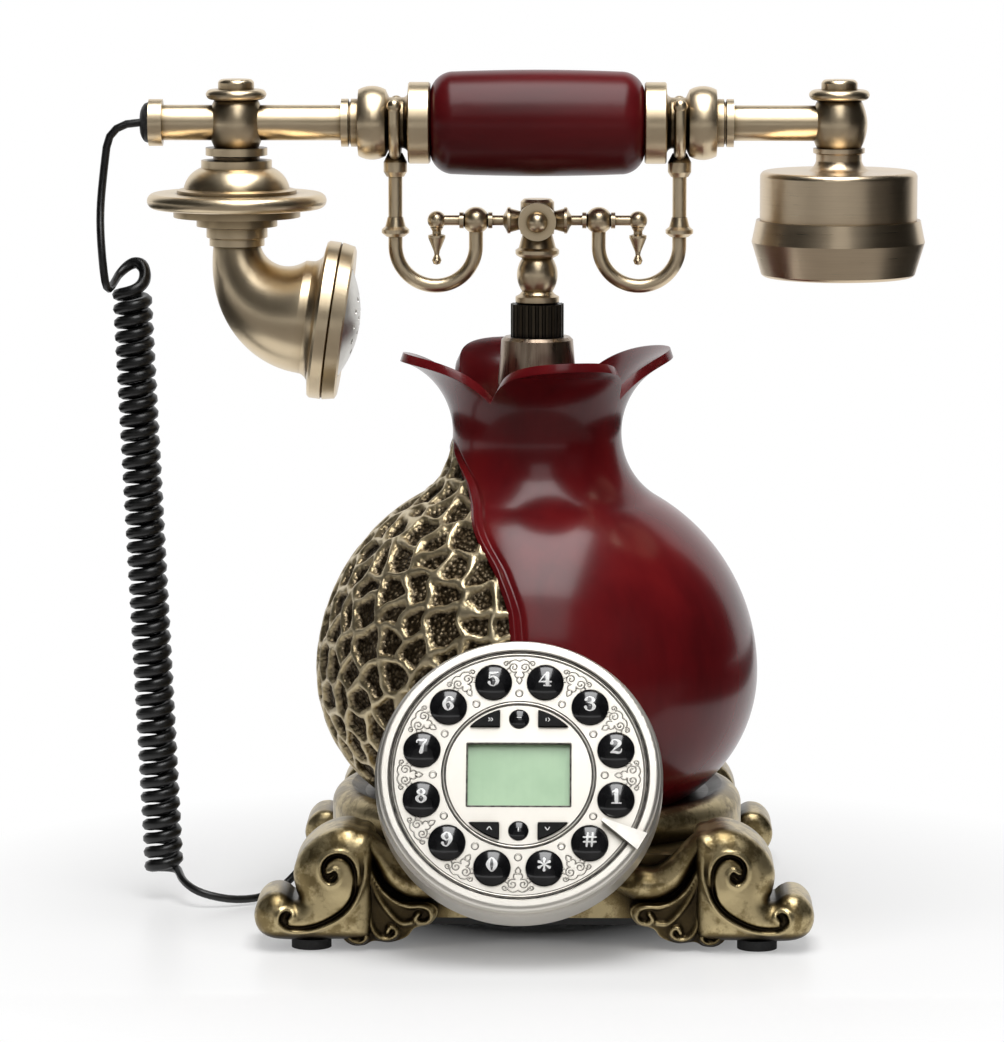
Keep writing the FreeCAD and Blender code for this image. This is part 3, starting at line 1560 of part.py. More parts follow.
def horn_sections(inset, stretch):
    """Round sections along the horn's bend, widening to its mouth."""
    wires = []
    for index in range(6):
        share = index / 5
        angle = turn * share
        spot = Vector(bend * (1 - math.cos(angle)), 0, -bend * math.sin(angle))
        heading = Vector(math.sin(angle), 0, -math.cos(angle))
        if stretch and index in (0, 5):
            spot = spot + heading * (-1 if index == 0 else 1)
        widen = share * share * (3 - 2 * share) * 0.55 + share * 0.45
        radius = float(d.horn_start) + (float(d.horn_end) - float(d.horn_start)) * widen - inset
        wires.append(Part.Wire(Part.Circle(spot, heading, radius).toShape()))
    return Part.makeLoft(wires, True, False)


horn = made("mouth_horn", horn_sections(0.0, False).cut(horn_sections(float(d.horn_wall), True)))
node("mouth_horn", place(horn, centre(-d.barrel_x, 0, horn_top)))
mouth_across = -d.barrel_x + d.horn_bend * (1 - d.horn_turn.cos())
mouth_down = horn_top - d.horn_bend * d.horn_turn.sin()
mouth_lean = 180 - d.horn_turn


def on_mouth(name, corners):
    """A turned piece on the horn's mouth, its Z out of the mouth."""
    return turned(name, corners, centre(mouth_across, 0, mouth_down), Y_AXIS, mouth_lean)


node(
    "mouth_bezel",
    on_mouth(
        "mouth_bezel",
        [
            (d.horn_end - d.horn_wall, 0),
            (d.horn_end, 0),
            (d.horn_end + 0.2, 2.8),
            (d.horn_end + 2.4, 5.4, -4.5),
            (d.mouth_ring - 0.6, 6.2),
            (d.mouth_ring, 7.0),
            (d.mouth_ring, 10.6),
            (d.mouth_ring - 0.6, 11),
            (d.mouth_ring, 11.4),
            (d.mouth_ring - 0.8, 15.4),
            (d.mouth_ring - 2, 16),
            (d.mouth_cap_radius, 15.6),
            (d.mouth_cap_radius, 13.2),
            (d.mouth_cap_radius - 2, 13.2),
            (d.mouth_cap_radius - 2, 9.0),
            (d.mouth_cap_radius - 4, 9.0),
            (d.mouth_cap_radius - 4, 6.5),
            (d.horn_end - d.horn_wall, 4.0),
        ],
    ),
)
cap_rise = d.mouth_cap_dome
cap_span = d.mouth_cap_radius - 0.1
cap_arc = cap_span * cap_span / cap_rise / 2 + cap_rise / 2
cap_blank = on_mouth(
    "mouth_cap_blank",
    [
        (0, 15.4 + cap_rise - 1.4),
        (0, 15.4 + cap_rise),
        (cap_span, 15.4, -cap_arc),
        (cap_span, 13.2),
        (cap_span - 1.6, 13.2),
        (cap_span - 1.6, 14.2),
    ],
)


def perforations(name, at, axis, angle, rings):
    """Small holes on circles around an axis."""
    holes = [Part.makeCylinder(0.9, 60, Vector(0, 0, -30))]
    for radius, count in rings:
        for index in range(count):
            spin = 2 * math.pi * index / count
            foot = Vector(radius * math.cos(spin), radius * math.sin(spin), -30)
            holes.append(Part.makeCylinder(0.9, 60, foot))
    return place(made(name, Part.makeCompound(holes)), at, axis, angle)


mouth_middle = centre(mouth_across, 0, mouth_down)
mouth_holes = perforations("mouth_holes", mouth_middle, Y_AXIS, mouth_lean, ((5.0, 6), (10.0, 12)))
node("mouth_cap", cut("mouth_cap", cap_blank, mouth_holes))
mic_seat = d.mouth_cap_radius - 4 - d.fit_gap
mic_flange = d.mouth_cap_radius - 2 - d.fit_gap
node(
    "microphone",
    on_mouth(
        "microphone",
        [(0, 6.6), (mic_seat, 6.6), (mic_seat, 9.0), (mic_flange, 9.0), (mic_flange, 11.5), (0, 11.5)],
    ),
)

node(
    "ear_cup",
    turned(
        "ear_cup",
        [
            (d.wire_bore, mouth_top),
            (8.6, mouth_top),
            (8.6, -9.8),
            (7.6, -10.2),
            (7.6, -12.5),
            (10.5, -15.7, 4.5),
            (d.ear_cup_radius - 1.8, -15.9),
            (d.ear_cup_radius, -17.6, -1.9),
            (d.ear_cup_radius, -32.2),
            (d.ear_cup_radius - d.ear_wall, -32.2),
            (d.ear_cup_radius - d.ear_wall, -19.0),
            (d.wire_bore, -19.0),
        ],
        along(d.barrel_x),
    ),
)
ear_blank = turned(
    "ear_cap_blank",
    [
        (0, -46.5),
        (0, -48.5),
        (12, -48.5),
        (d.ear_cap_end - 3, -51),
        (d.ear_cap_end, -50.2, 2.4),
        (d.ear_cap_radius, -39.5),
        (d.ear_cup_radius + 1.2, -32.2),
        (d.ear_cup_radius - d.ear_wall, -32.2),
        (d.ear_cup_radius - d.ear_wall, -36),
        (d.ear_cup_radius - d.ear_wall - 2.5, -36),
        (d.ear_cup_radius - d.ear_wall - 2.5, -44),
        (12, -46.5),
    ],
    along(d.barrel_x),
)
ear_middle = centre(d.barrel_x, 0, handset_height - 50)
ear_holes = perforations("ear_holes", ear_middle, Z_AXIS, 0.0, ((4.5, 6), (9.0, 12)))
node("ear_cap", cut("ear_cap", ear_blank, ear_holes))
node(
    "receiver",
    turned(
        "receiver",
        [
            (0, -40),
            (15, -40),
            (15, -36),
            (d.ear_cup_radius - d.ear_wall - d.fit_gap, -36),
            (d.ear_cup_radius - d.ear_wall - d.fit_gap, -28),
            (0, -28),
        ],
        along(d.barrel_x),
    ),
)

# The cord: upper lead, curly coil, lower lead, all along one route.
coil_top = Vector(-136.0, 0, 213.0)
coil_low = Vector(-126.5, 0, 9.0)
coil_axis = (coil_low - coil_top).normalize()
coil_length = float(d.coil_pitch) * float(d.coil_turns)
print("coil length", coil_length, "span", (coil_low - coil_top).Length)
coil_wire = Part.makeHelix(float(d.coil_pitch), coil_length, float(d.coil_radius))
coil_round = Part.Circle(Vector(float(d.coil_radius), 0, 0), Y_AXIS, float(d.curl_radius))
coil_section = Part.Wire(coil_round.toShape())
coil_shape = Part.Wire(coil_wire.Edges).makePipeShell([coil_section], True, True)
coil = made("cord_coil", coil_shape)
coil_lay = Rotation(Z_AXIS, coil_axis * -1)
coil.Placement = Placement(coil_low + Vector(0, float(d.axis_back), 0), coil_lay)
node("cord_coil", coil)
coil_points = [coil_wire.Edges[0].valueAt(0)]
for turn in range(int(float(d.coil_turns)) * 24):
    angle = 2 * math.pi * turn / 24
    rise = float(d.coil_pitch) * turn / 24
    coil_points.append(Vector(math.cos(angle), math.sin(angle), 0) * float(d.coil_radius) + Z_AXIS * rise)
least = min(
    (here - there).Length
    for index, here in enumerate(coil_points[1:26])
    for there in coil_points[index + 13 : index + 40]
)
print("least gap in the coil", round(least - 2 * float(d.curl_radius), 2))
coil_slope = float(d.coil_pitch) / (2 * math.pi * float(d.coil_radius))


def on_coil(spin):
    """A point of the coil's centreline and the heading there, after a spin in radians."""
    x, y = math.cos(spin), math.sin(spin)
    spot = Vector(x, y, coil_slope * spin) * float(d.coil_radius)
    return coil.Placement.multVec(spot), coil_lay.multVec(Vector(-y, x, coil_slope)).normalize()


coil_start, start_heading = on_coil(0.0)
coil_end, end_heading = on_coil(2 * math.pi * float(d.coil_turns))


def lead(name, points):
    """A limp lead along straight runs and tangent arcs; prints its bends."""
    bends = []
    for before, here, after in zip(points, points[1:], points[2:]):
        turn = math.pi - (before - here).getAngle(after - here)
        run = min((before - here).Length, (after - here).Length)
        bends.append(0.45 * run / math.tan(turn / 2))
    shape, length = tube(points, float(d.cord_radius), bends)
    section = math.pi * float(d.cord_radius) ** 2
    print(name, "bends", [round(v, 1) for v in bends], "length", round(length, 1))
    print(name, "volume", round(shape.Volume, 1), "section by length", round(section * length, 1))
    return node(name, made(name, shape))


back = float(d.axis_back)
gland_face = -float(d.gland_end) - gland_out
axis_z = float(handset_height)
upper_route = [
    Vector(gland_face, back, axis_z),
    Vector(gland_face - 10.2, back, axis_z),
    Vector(-144.8, back - 1, axis_z - 16.4),
    Vector(-145.8, back - 5, axis_z - 29.4),
    Vector(-144.8, back - 12, axis_z - 41.4),
    coil_end + end_heading * 13,
    coil_end + end_heading * float(d.fit_gap) * 3,
]
lead("cord_upper_lead", upper_route)
jack_floor = -float(side_middle) + jack_mouth
plug_height = float(jack_base + d.jack_tall / 2)
lower_route = [
    coil_start,
    coil_start - start_heading * 11,
    Vector(-113, back - 17, 5),
    Vector(-101, back - 14, 2),
    Vector(-90, back - 6, 2.2),
    Vector(-82, back - 1, 8),
    Vector(-76, back, plug_height),
    Vector(jack_floor, back, plug_height),
]
lead("cord_lower_lead", lower_route)

doc.recompute()
os.makedirs("parts", exist_ok=True)
for thing in doc.Objects:
    if "Invalid" in thing.State or "Error" in thing.State:
        print("BROKEN", thing.Name, thing.Label, thing.State)
for name, thing in NODES.items():
    shape = thing.Shape
    good = shape.isValid() and len(shape.Solids) > 0
    print(name, "solids", len(shape.Solids), "volume", round(shape.Volume / 1000, 2), "ok" if good else "BAD")
    shape.exportStep(f"parts/{name}.step")
print("nodes", len(NODES))
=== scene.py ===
# %% [markdown]
# # A pomegranate desk telephone
# This lesson dresses a telephone whose solids come from a CAD model. The solids are already in place, in
# metres, so nothing here moves them. The lesson adds a camera, light, finishes and the pieces that a
# sculptor or a jeweller would make by hand: the peel, the seed bed, the carved feet, the dial's figures and
# the cord.

# %% Load the frame
import json
import math

import bmesh
import bpy
import numpy as np
from mathutils import Matrix, Vector
from mathutils.geometry import delaunay_2d_cdt

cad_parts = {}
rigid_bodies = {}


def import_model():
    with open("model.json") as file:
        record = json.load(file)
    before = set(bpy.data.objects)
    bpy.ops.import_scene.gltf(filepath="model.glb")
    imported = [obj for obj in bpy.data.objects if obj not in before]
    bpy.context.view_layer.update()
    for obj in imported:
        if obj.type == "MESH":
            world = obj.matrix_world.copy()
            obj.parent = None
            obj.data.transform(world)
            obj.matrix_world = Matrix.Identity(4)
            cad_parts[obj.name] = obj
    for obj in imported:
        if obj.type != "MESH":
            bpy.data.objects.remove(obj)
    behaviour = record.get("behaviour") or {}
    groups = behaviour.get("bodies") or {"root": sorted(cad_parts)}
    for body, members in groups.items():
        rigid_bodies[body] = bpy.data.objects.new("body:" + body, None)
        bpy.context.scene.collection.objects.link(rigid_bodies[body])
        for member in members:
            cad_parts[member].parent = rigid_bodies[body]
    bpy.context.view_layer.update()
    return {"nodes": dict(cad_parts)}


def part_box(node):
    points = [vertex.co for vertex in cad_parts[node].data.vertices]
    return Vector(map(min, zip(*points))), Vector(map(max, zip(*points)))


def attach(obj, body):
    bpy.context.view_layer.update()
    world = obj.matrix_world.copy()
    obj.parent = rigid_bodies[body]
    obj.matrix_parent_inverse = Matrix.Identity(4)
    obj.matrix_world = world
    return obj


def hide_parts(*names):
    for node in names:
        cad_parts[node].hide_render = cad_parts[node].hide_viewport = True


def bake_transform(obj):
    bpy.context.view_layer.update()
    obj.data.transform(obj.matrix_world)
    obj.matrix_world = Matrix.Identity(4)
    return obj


for leftover in list(bpy.data.objects):
    bpy.data.objects.remove(leftover)
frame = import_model()
nodes = frame["nodes"]
MM = 0.001

# %% [markdown]
# ## Where things are
# The fruit is a turned form. Its axis stands a little behind the middle of the footprint, so that the dial,
# which leans out at the front, balances the feet at the back. The same few arcs that shape the solid fruit
# are written here once more, because the peel and the seeds are laid on that outline.

# %% The fruit's outline
AXIS_Y = 12.5
BELLY_R = 74.3
BELLY_Z = 79.0
UPPER_ARC = 68.0
LOWER_ARC = 49.0
NECK_R = 28.3
NECK_ARC = 26.0
SEAT_Z = 38.0
NECK_CENTRE = NECK_R + NECK_ARC
SPAN = UPPER_ARC + NECK_ARC
STEP = NECK_CENTRE - (BELLY_R - UPPER_ARC)
NECK_Z = BELLY_Z + math.sqrt(SPAN**2 - STEP**2)
LOW_TURN = math.asin((BELLY_Z - SEAT_Z) / LOWER_ARC)
TOP_TURN = math.acos(STEP / SPAN)
LOW_LENGTH = LOWER_ARC * LOW_TURN
TOP_LENGTH = UPPER_ARC * TOP_TURN
NECK_LENGTH = NECK_ARC * TOP_TURN


def fruit(s):
    """Radius, height and outward slope at a length s along the outline, from the seat upwards, in mm."""
    if s < LOW_LENGTH:
        turn = s / LOWER_ARC - LOW_TURN
        cx, cz, arm = BELLY_R - LOWER_ARC, BELLY_Z, LOWER_ARC
    elif s < LOW_LENGTH + TOP_LENGTH:
        turn = (s - LOW_LENGTH) / UPPER_ARC
        cx, cz, arm = BELLY_R - UPPER_ARC, BELLY_Z, UPPER_ARC
    else:
        turn = TOP_TURN - (s - LOW_LENGTH - TOP_LENGTH) / NECK_ARC
        nx, nz = math.cos(turn), math.sin(turn)
        return NECK_CENTRE - NECK_ARC * nx, NECK_Z - NECK_ARC * nz, nx, nz
    nx, nz = math.cos(turn), math.sin(turn)
    return cx + arm * nx, cz + arm * nz, nx, nz


NECK_S = LOW_LENGTH + TOP_LENGTH + NECK_LENGTH


def about_axis(r, z, azimuth):
    """A point in metres, from mm; azimuth is in degrees from the front towards the right."""
    a = math.radians(azimuth)
    return Vector((r * math.sin(a), AXIS_Y - r * math.cos(a), z)) * MM


def on_fruit(s, azimuth, lift=0.0):
    """A point on the fruit, lifted off its outline."""
    r, z, nx, nz = fruit(s)
    return about_axis(r + nx * lift, z + nz * lift, azimuth)


def length_at(height):
    """The outline's length at which it reaches a height."""
    low, high = 0.0, NECK_S + 40
    for _ in range(40):
        middle = (low + high) / 2
        if fruit(middle)[1] < height:
            low = middle
        else:
            high = middle
    return low


print("outline", [round(v, 1) for v in (LOW_LENGTH, TOP_LENGTH, NECK_LENGTH)], "neck", round(NECK_Z, 1))

# %% [markdown]
# ## Camera
# A product photograph is taken with a long lens from some way off, which keeps upright lines upright. The
# distance and the tilt below were worked out from how much rounder the base looks than the ear cup.


# %% Camera
def placed(name, data):
    """A new object in the scene."""
    thing = bpy.data.objects.new(name, data)
    bpy.context.collection.objects.link(thing)
    return thing


SHOT_W, SHOT_H = 1004, 1042
FOCAL_PX = 5400.0
DISTANCE = 1.8
CAMERA_Z = 0.373
AZIMUTH = math.radians(1.0)
PITCH = math.radians(7.7)
AIM_LEFT = 0.0118
sideways = Vector((math.cos(AZIMUTH), math.sin(AZIMUTH), 0))
backwards = Vector((math.sin(AZIMUTH), -math.cos(AZIMUTH), 0))
camera_data = bpy.data.cameras.new("camera")
camera_data.sensor_width = 36.0
camera_data.lens = FOCAL_PX / max(SHOT_W, SHOT_H) * camera_data.sensor_width
camera_data.clip_end = 50
camera = placed("camera", camera_data)
camera.location = Vector((0, AXIS_Y * MM, CAMERA_Z)) + backwards * DISTANCE - sideways * AIM_LEFT
camera.rotation_euler = (math.pi / 2 - PITCH, 0, AZIMUTH)
bpy.context.scene.camera = camera
bpy.context.scene.view_settings.view_transform = "Standard"
print("lens", round(camera_data.lens, 1))

# %% [markdown]
# ## Shader arithmetic
# A finish is a small calculation: a colour that drifts, a roughness that wears, a bump that catches light.
# Written as nodes it sprawls, so one class lets the calculation be written as Python. Adding or multiplying
# two values adds a Math node, and every other node comes from the one method `node`.


# %% A socket that does arithmetic
class Wire:
    """An output of a node. Arithmetic on wires adds Math nodes to the same tree."""

    def __init__(self, tree, port=None):
        self.tree = tree
        self.port = port

    def node(self, kind, settings=None, values=None, out=0):
        """Adds a node: its settings first, then the values or links of its sockets."""
        made = self.tree.nodes.new(kind)
        for name, value in (settings or {}).items():
            if name == "stops":
                ramp = made.color_ramp.elements
                while len(ramp) < len(value):
                    ramp.new(0.5)
                for element, (place, colour) in zip(ramp, value):
                    element.position = place
                    element.color = (*colour, 1)
            else:
                setattr(made, name, value)
        for name, value in (values or {}).items():
            if isinstance(value, Wire):
                self.tree.links.new(value.port, made.inputs[name])
            else:
                made.inputs[name].default_value = value
        return Wire(self.tree, made.outputs[out] if made.outputs else None)

    def math(self, operation, first, second):
        return self.node("ShaderNodeMath", {"operation": operation}, {0: first, 1: second})

    def __add__(self, other):
        return self.math("ADD", self, other)

    def __radd__(self, other):
        return self.math("ADD", other, self)

    def __sub__(self, other):
        return self.math("SUBTRACT", self, other)

    def __rsub__(self, other):
        return self.math("SUBTRACT", other, self)

    def __mul__(self, other):
        return self.math("MULTIPLY", self, other)

    def place(self):
        """Where a point of the surface is, in metres."""
        return self.node("ShaderNodeTexCoord", out=3)

    def noise(self, scale, detail=3.0, rough=0.55, stretch=None):
        """Cloudy noise between about 0.3 and 0.7, with features of about 1/scale metres."""
        where = self.place()
        if stretch:
            where = self.node("ShaderNodeVectorMath", {"operation": "MULTIPLY"}, {0: where, 1: stretch})
        values = {"Vector": where, "Scale": scale, "Detail": detail, "Roughness": rough}
        return self.node("ShaderNodeTexNoise", {}, values)

    def cells(self, scale):
        """0 at scattered points, rising away from them."""
        return self.node("ShaderNodeTexVoronoi", {}, {"Vector": self.place(), "Scale": scale})

    def ramp(self, *stops):
        """A colour for each value of the wire."""
        return self.node("ShaderNodeValToRGB", {"stops": stops}, {"Fac": self})

    def between(self, low, high):
        """The wire spread from 0 at low to 1 at high, without going outside."""
        values = {"Value": self, "From Min": low, "From Max": high}
        return self.node("ShaderNodeMapRange", {"clamp": True}, values)

    def hollows(self, distance):
        """Ambient occlusion, how open the surface is: 1 on a ridge and near 0 deep in a corner. Used in a
        colour, it paints shade into corners.
        """
        settings = {"samples": 8, "only_local": False}
        return self.node("ShaderNodeAmbientOcclusion", settings, {"Distance": distance}, 1)

    def bump(self, strength, distance):
        """A normal that tilts as the wire climbs."""
        return self.node("ShaderNodeBump", {}, {"Strength": strength, "Distance": distance, "Height": self})

    def attribute(self, name):
        """A value that the mesh holds at its corners."""
        return self.node("ShaderNodeAttribute", {"attribute_name": name}, out=2)


def finish(name, recipe):
    """A material whose recipe gives the values and wires of the main shader."""
    material = bpy.data.materials.new(name)
    material.use_nodes = True
    tree = material.node_tree
    tree.nodes.clear()
    paint = Wire(tree)
    shader = paint.node("ShaderNodeBsdfPrincipled", {}, recipe(paint))
    paint.node("ShaderNodeOutputMaterial", {}, {"Surface": shader})
    return material


def speckled(scale, detail, dark, pale, rough, wear, constants=None, bump=None, stops=(0.3, 0.7)):
    """A plain recipe: one cloud leads the colour, from dark to pale, and the roughness."""

    def recipe(paint):
        cloud = paint.noise(scale, detail)
        colour = cloud.ramp((stops[0], dark), (stops[1], pale))
        values = {"Base Color": colour, "Roughness": rough + cloud * wear}
        if bump:
            values["Normal"] = cloud.bump(*bump)
        return {**values, **(constants or {})}

    return recipe


def grey(level):
    return (level, level, level)


# %% [markdown]
# ## Finishes
# The telephone is dressed as an antique. Its metal is a pale brass that has been darkened and then rubbed,
# so corners stay brown and ridges shine; the brown in corners is laid on from ambient occlusion, so it is
# painted shade as well as patina. The peel and grip are lacquered wine red over wood-brown streaks. The
# base is cast and painted a dark gold, with painted shade in its hollows and grooves. Each recipe says
# where its colour changes and how rough it is.


# %% Metal finishes
def antique_brass(paint):
    """Rubbed brass: pale on ridges, faint turning lines, and brown in corners, where ambient occlusion lays
    painted shade over the patina.
    """
    open_air = paint.hollows(0.007).between(0.3, 0.95)
    cloud = paint.noise(70, 2)
    lines = paint.noise(420, 2, stretch=(1, 0.06, 1))
    # Ambient occlusion darkens the colour in hollows: painted shade, with the brown patina left there.
    rubbed_and_shaded = open_air * 0.85 + cloud * 0.2
    colour = rubbed_and_shaded.ramp(
        (0.15, (0.085, 0.060, 0.034)),
        (0.60, (0.480, 0.365, 0.220)),
        (0.95, (0.75, 0.615, 0.420)),
    )
    return {
        "Base Color": colour,
        "Metallic": 1.0,
        "Roughness": 0.24 + cloud * 0.1 + lines * 0.06,
        "Normal": lines.bump(0.04, 0.0003),
    }


def socket_brass(paint):
    """The same brass left dark, brushed upwards, on the socket under the plunger."""
    lines = paint.noise(700, 2, stretch=(1, 1, 0.04))
    colour = lines.ramp((0.3, (0.230, 0.172, 0.125)), (0.7, (0.460, 0.365, 0.275)))
    return {"Base Color": colour, "Metallic": 1.0, "Roughness": 0.22 + lines * 0.14}


def brushed_brass(paint):
    """The ear cup's brass, brushed round and round, with painted shade darkening its corners."""
    open_air = paint.hollows(0.006).between(0.2, 0.95)
    cloud = paint.noise(60, 3)
    lines = paint.noise(2400, 2, stretch=(0.02, 0.02, 1))
    # Ambient occlusion darkens the colour in corners: painted shade, with the patina left there.
    rubbed_and_shaded = open_air * 0.7 + cloud * 0.2 + lines * 0.25
    colour = rubbed_and_shaded.ramp(
        (0.2, (0.110, 0.080, 0.050)),
        (0.6, (0.520, 0.395, 0.255)),
        (1.0, (0.74, 0.605, 0.430)),
    )
    return {
        "Base Color": colour,
        "Metallic": 1.0,
        "Roughness": 0.24 + lines * 0.12,
        "Normal": lines.bump(0.1, 0.0002),
    }


def dark_spline(paint):
    """The plunger, nearly black between its ridges, where the colour is darkened by painted shade."""
    # Ambient occlusion picks the dark between the ridges: painted shade.
    open_air = paint.hollows(0.002).between(0.5, 1.0)
    colour = open_air.ramp((0.0, (0.006, 0.005, 0.004)), (1.0, (0.06, 0.048, 0.032)))
    return {"Base Color": colour, "Metallic": 0.8, "Roughness": 0.3 + paint.noise(200) * 0.2}


def champagne_silver(paint):
    """The dial's satin metal, a warm silver with a fine grain, darkened by painted shade in corners and
    beside the engraving.
    """
    # Ambient occlusion darkens the colour in corners and beside the wires: painted shade.
    open_air = paint.hollows(0.004).between(0.3, 0.95)
    grain = paint.noise(1800, 2)
    cloud = paint.noise(50, 3)
    colour = (open_air * 0.8 + cloud * 0.3).ramp(
        (0.1, (0.20, 0.18, 0.15)),
        (0.6, (0.60, 0.57, 0.51)),
        (1.0, (0.76, 0.73, 0.67)),
    )
    return {
        "Base Color": colour,
        "Metallic": 0.85,
        "Roughness": 0.30 + grain * 0.16,
        "Normal": grain.bump(0.06, 0.0002),
    }


# %% Lacquer, castings, plastics
def wine_lacquer(paint):
    """Wine-red lacquer with brown streaks that follow the fruit upwards."""
    streak = paint.noise(38, 5, stretch=(1, 1, 0.22))
    cloud = paint.noise(16, 3)
    depth = streak * 0.6 + cloud * 0.5
    colour = depth.ramp(
        (0.35, (0.045, 0.0035, 0.0045)),
        (0.55, (0.115, 0.0060, 0.0080)),
        (0.75, (0.185, 0.010, 0.011)),
    )
    return {
        "Base Color": colour,
        "Roughness": 0.17 + cloud * 0.10,
        "Specular IOR Level": 0.3,
        "Coat Weight": 0.03 + streak * 0.14,
        "Coat Roughness": 0.10,
        "Normal": cloud.bump(0.03, 0.001),
    }


def grip_lacquer(paint):
    """The grip's darker lacquer, rubbed to a satin by hands."""
    streak = paint.noise(38, 5, stretch=(0.22, 1, 1))
    colour = streak.ramp((0.3, (0.045, 0.0030, 0.0040)), (0.7, (0.120, 0.0065, 0.0085)))
    return {
        "Base Color": colour,
        "Roughness": 0.24 + streak * 0.10,
        "Specular IOR Level": 0.24,
        "Normal": streak.bump(0.03, 0.0006),
    }


def cast_gold(paint):
    """The base's casting: dark gold, brown in the carving as patina and painted shade, rubbed bright on
    ridges.
    """
    open_air = paint.hollows(0.007).between(0.3, 0.95)
    relief = paint.attribute("relief")
    cloud = paint.noise(120, 6, 0.7)
    grit = paint.noise(700, 3)
    # Ambient occlusion and the carved relief darken hollows and grooves: painted shade over the patina;
    # raised beads come out lighter.
    rubbed_and_shaded = open_air * 0.75 + cloud * 0.45 + relief * 0.28
    colour = rubbed_and_shaded.ramp(
        (0.35, (0.014, 0.009, 0.004)),
        (0.72, (0.080, 0.056, 0.023)),
        (0.95, (0.230, 0.172, 0.078)),
        (1.20, (0.52, 0.42, 0.23)),
    )
    return {
        "Base Color": colour,
        "Metallic": 0.9,
        "Roughness": 0.20 + cloud * 0.26,
        "Normal": (grit * 0.5 + cloud * 0.5).bump(0.22, 0.0008),
    }


def seed_gold(paint):
    """The seed bed: pale gold ridges over brown, pebbled cells."""
    ridge = paint.attribute("ridge")
    pebble = paint.cells(620)
    cloud = paint.noise(90, 4)
    high = ridge * 0.75 + cloud * 0.4 - pebble * (1 - ridge) * 0.4
    colour = high.ramp(
        (0.00, (0.040, 0.027, 0.013)),
        (0.24, (0.270, 0.215, 0.140)),
        (0.72, (0.430, 0.345, 0.200)),
        (1.00, (0.68, 0.575, 0.38)),
    )
    dints = (1 - pebble) * (1 - ridge)
    return {
        "Base Color": colour,
        "Metallic": 0.9,
        "Roughness": 0.42 + cloud * 0.1 - ridge * 0.14,
        "Normal": dints.bump(0.8, 0.0014),
    }


def green_display(paint):
    """A reflective display: pale green, a little uneven, behind a clear pane."""
    cloud = paint.noise(70, 3)
    lines = paint.noise(900, 1, stretch=(1, 0.02, 0.02))
    uneven = cloud * 0.9 + lines * 0.1
    colour = uneven.ramp((0.3, (0.42, 0.63, 0.40)), (0.7, (0.50, 0.72, 0.47)))
    return {"Base Color": colour, "Roughness": 0.18 + cloud * 0.1, "Coat Weight": 0.5}


def green_board(paint):
    cloud = paint.cells(260)
    colour = cloud.ramp((0.0, (0.01, 0.06, 0.02)), (1.0, (0.02, 0.12, 0.05)))
    return {"Base Color": colour, "Roughness": 0.45 + cloud * 0.2}


COAT = {"Coat Weight": 0.4}
BRASS = finish("antique_brass", antique_brass)
SOCKET = finish("socket_brass", socket_brass)
BRUSHED = finish("brushed_brass", brushed_brass)
SPLINE = finish("dark_spline", dark_spline)
SILVER = finish("champagne_silver", champagne_silver)
TRIM = finish(
    "bright_silver", speckled(120, 3, (0.55, 0.53, 0.49), (0.78, 0.76, 0.71), 0.22, 0.18, {"Metallic": 0.9})
)
STEEL = finish(
    "plain_steel", speckled(300, 2, (0.35, 0.35, 0.36), (0.55, 0.55, 0.56), 0.25, 0.2, {"Metallic": 1.0})
)
LACQUER = finish("wine_lacquer", wine_lacquer)
GRIP = finish("grip_lacquer", grip_lacquer)
GOLD = finish("cast_gold", cast_gold)
SEEDS = finish("seed_gold", seed_gold)
# The number keys are polished by fingers, and the flat function keys are dull. The cord's vinyl is blacker
# and glossier than the mouldings.
DULL = {"Specular IOR Level": 0.12}
GLOSS = finish(
    "black_gloss", speckled(260, 3, (0.004, 0.004, 0.0045), (0.012, 0.012, 0.013), 0.10, 0.12, COAT)
)
FLAT = finish("black_flat", speckled(300, 3, grey(0.006), grey(0.014), 0.4, 0.2, DULL))
SATIN = finish("black_satin", speckled(400, 3, grey(0.010), grey(0.022), 0.36, 0.25, bump=(0.08, 0.0003)))
CORD = finish("black_cord", speckled(300, 3, grey(0.004), grey(0.010), 0.24, 0.2, bump=(0.04, 0.0003)))
RUBBER = finish("black_rubber", speckled(600, 3, grey(0.012), grey(0.03), 0.7, 0.2, bump=(0.2, 0.0004)))
DISPLAY = finish("green_display", green_display)
BOARD = finish("green_board", green_board)
print("finishes", len(bpy.data.materials))

# %% [markdown]
# ## Dressing the solids
# A solid keeps its own shape and only changes its finish, so each node's material slot is pointed at one of
# the recipes.


# %% Finishes on the solids
def wear(mesh, material):
    """One finish on a whole mesh."""
    mesh.materials.clear()
    mesh.materials.append(material)


WEARS = {
    BRASS: (
        "cradle_column cradle_arm_left cradle_arm_right cradle_fork_left cradle_fork_right "
        "grip_ferrules arm_tubes mouth_barrel ear_barrel mouth_stack mouth_horn mouth_bezel"
    ),
    SOCKET: "hook_socket",
    BRUSHED: "ear_cup ear_cap",
    SPLINE: "spline_plunger",
    SILVER: "dial_housing dial_face",
    TRIM: "mouth_cap finger_stop",
    STEEL: "cover_screws return_spring",
    LACQUER: "peel_shell",
    GRIP: "handset_grip",
    GOLD: "base_plinth feet_front feet_rear",
    SEEDS: "seed_core",
    SATIN: "bottom_cover modular_jacks ringer_sounder microphone receiver hook_switch cord_gland",
    RUBBER: "rubber_pads",
    DISPLAY: "display_module",
    BOARD: "main_board key_board",
    GLOSS: (
        "key_1 key_2 key_3 key_4 key_5 key_6 key_7 key_8 key_9 key_star key_0 key_hash key_set key_out"
    ),
    FLAT: "key_redial key_speaker key_up key_down",
    CORD: "cord_upper_lead cord_coil cord_lower_lead",
}
for material, names in WEARS.items():
    for name in names.split():
        wear(nodes[name].data, material)
print("dressed", len(nodes))

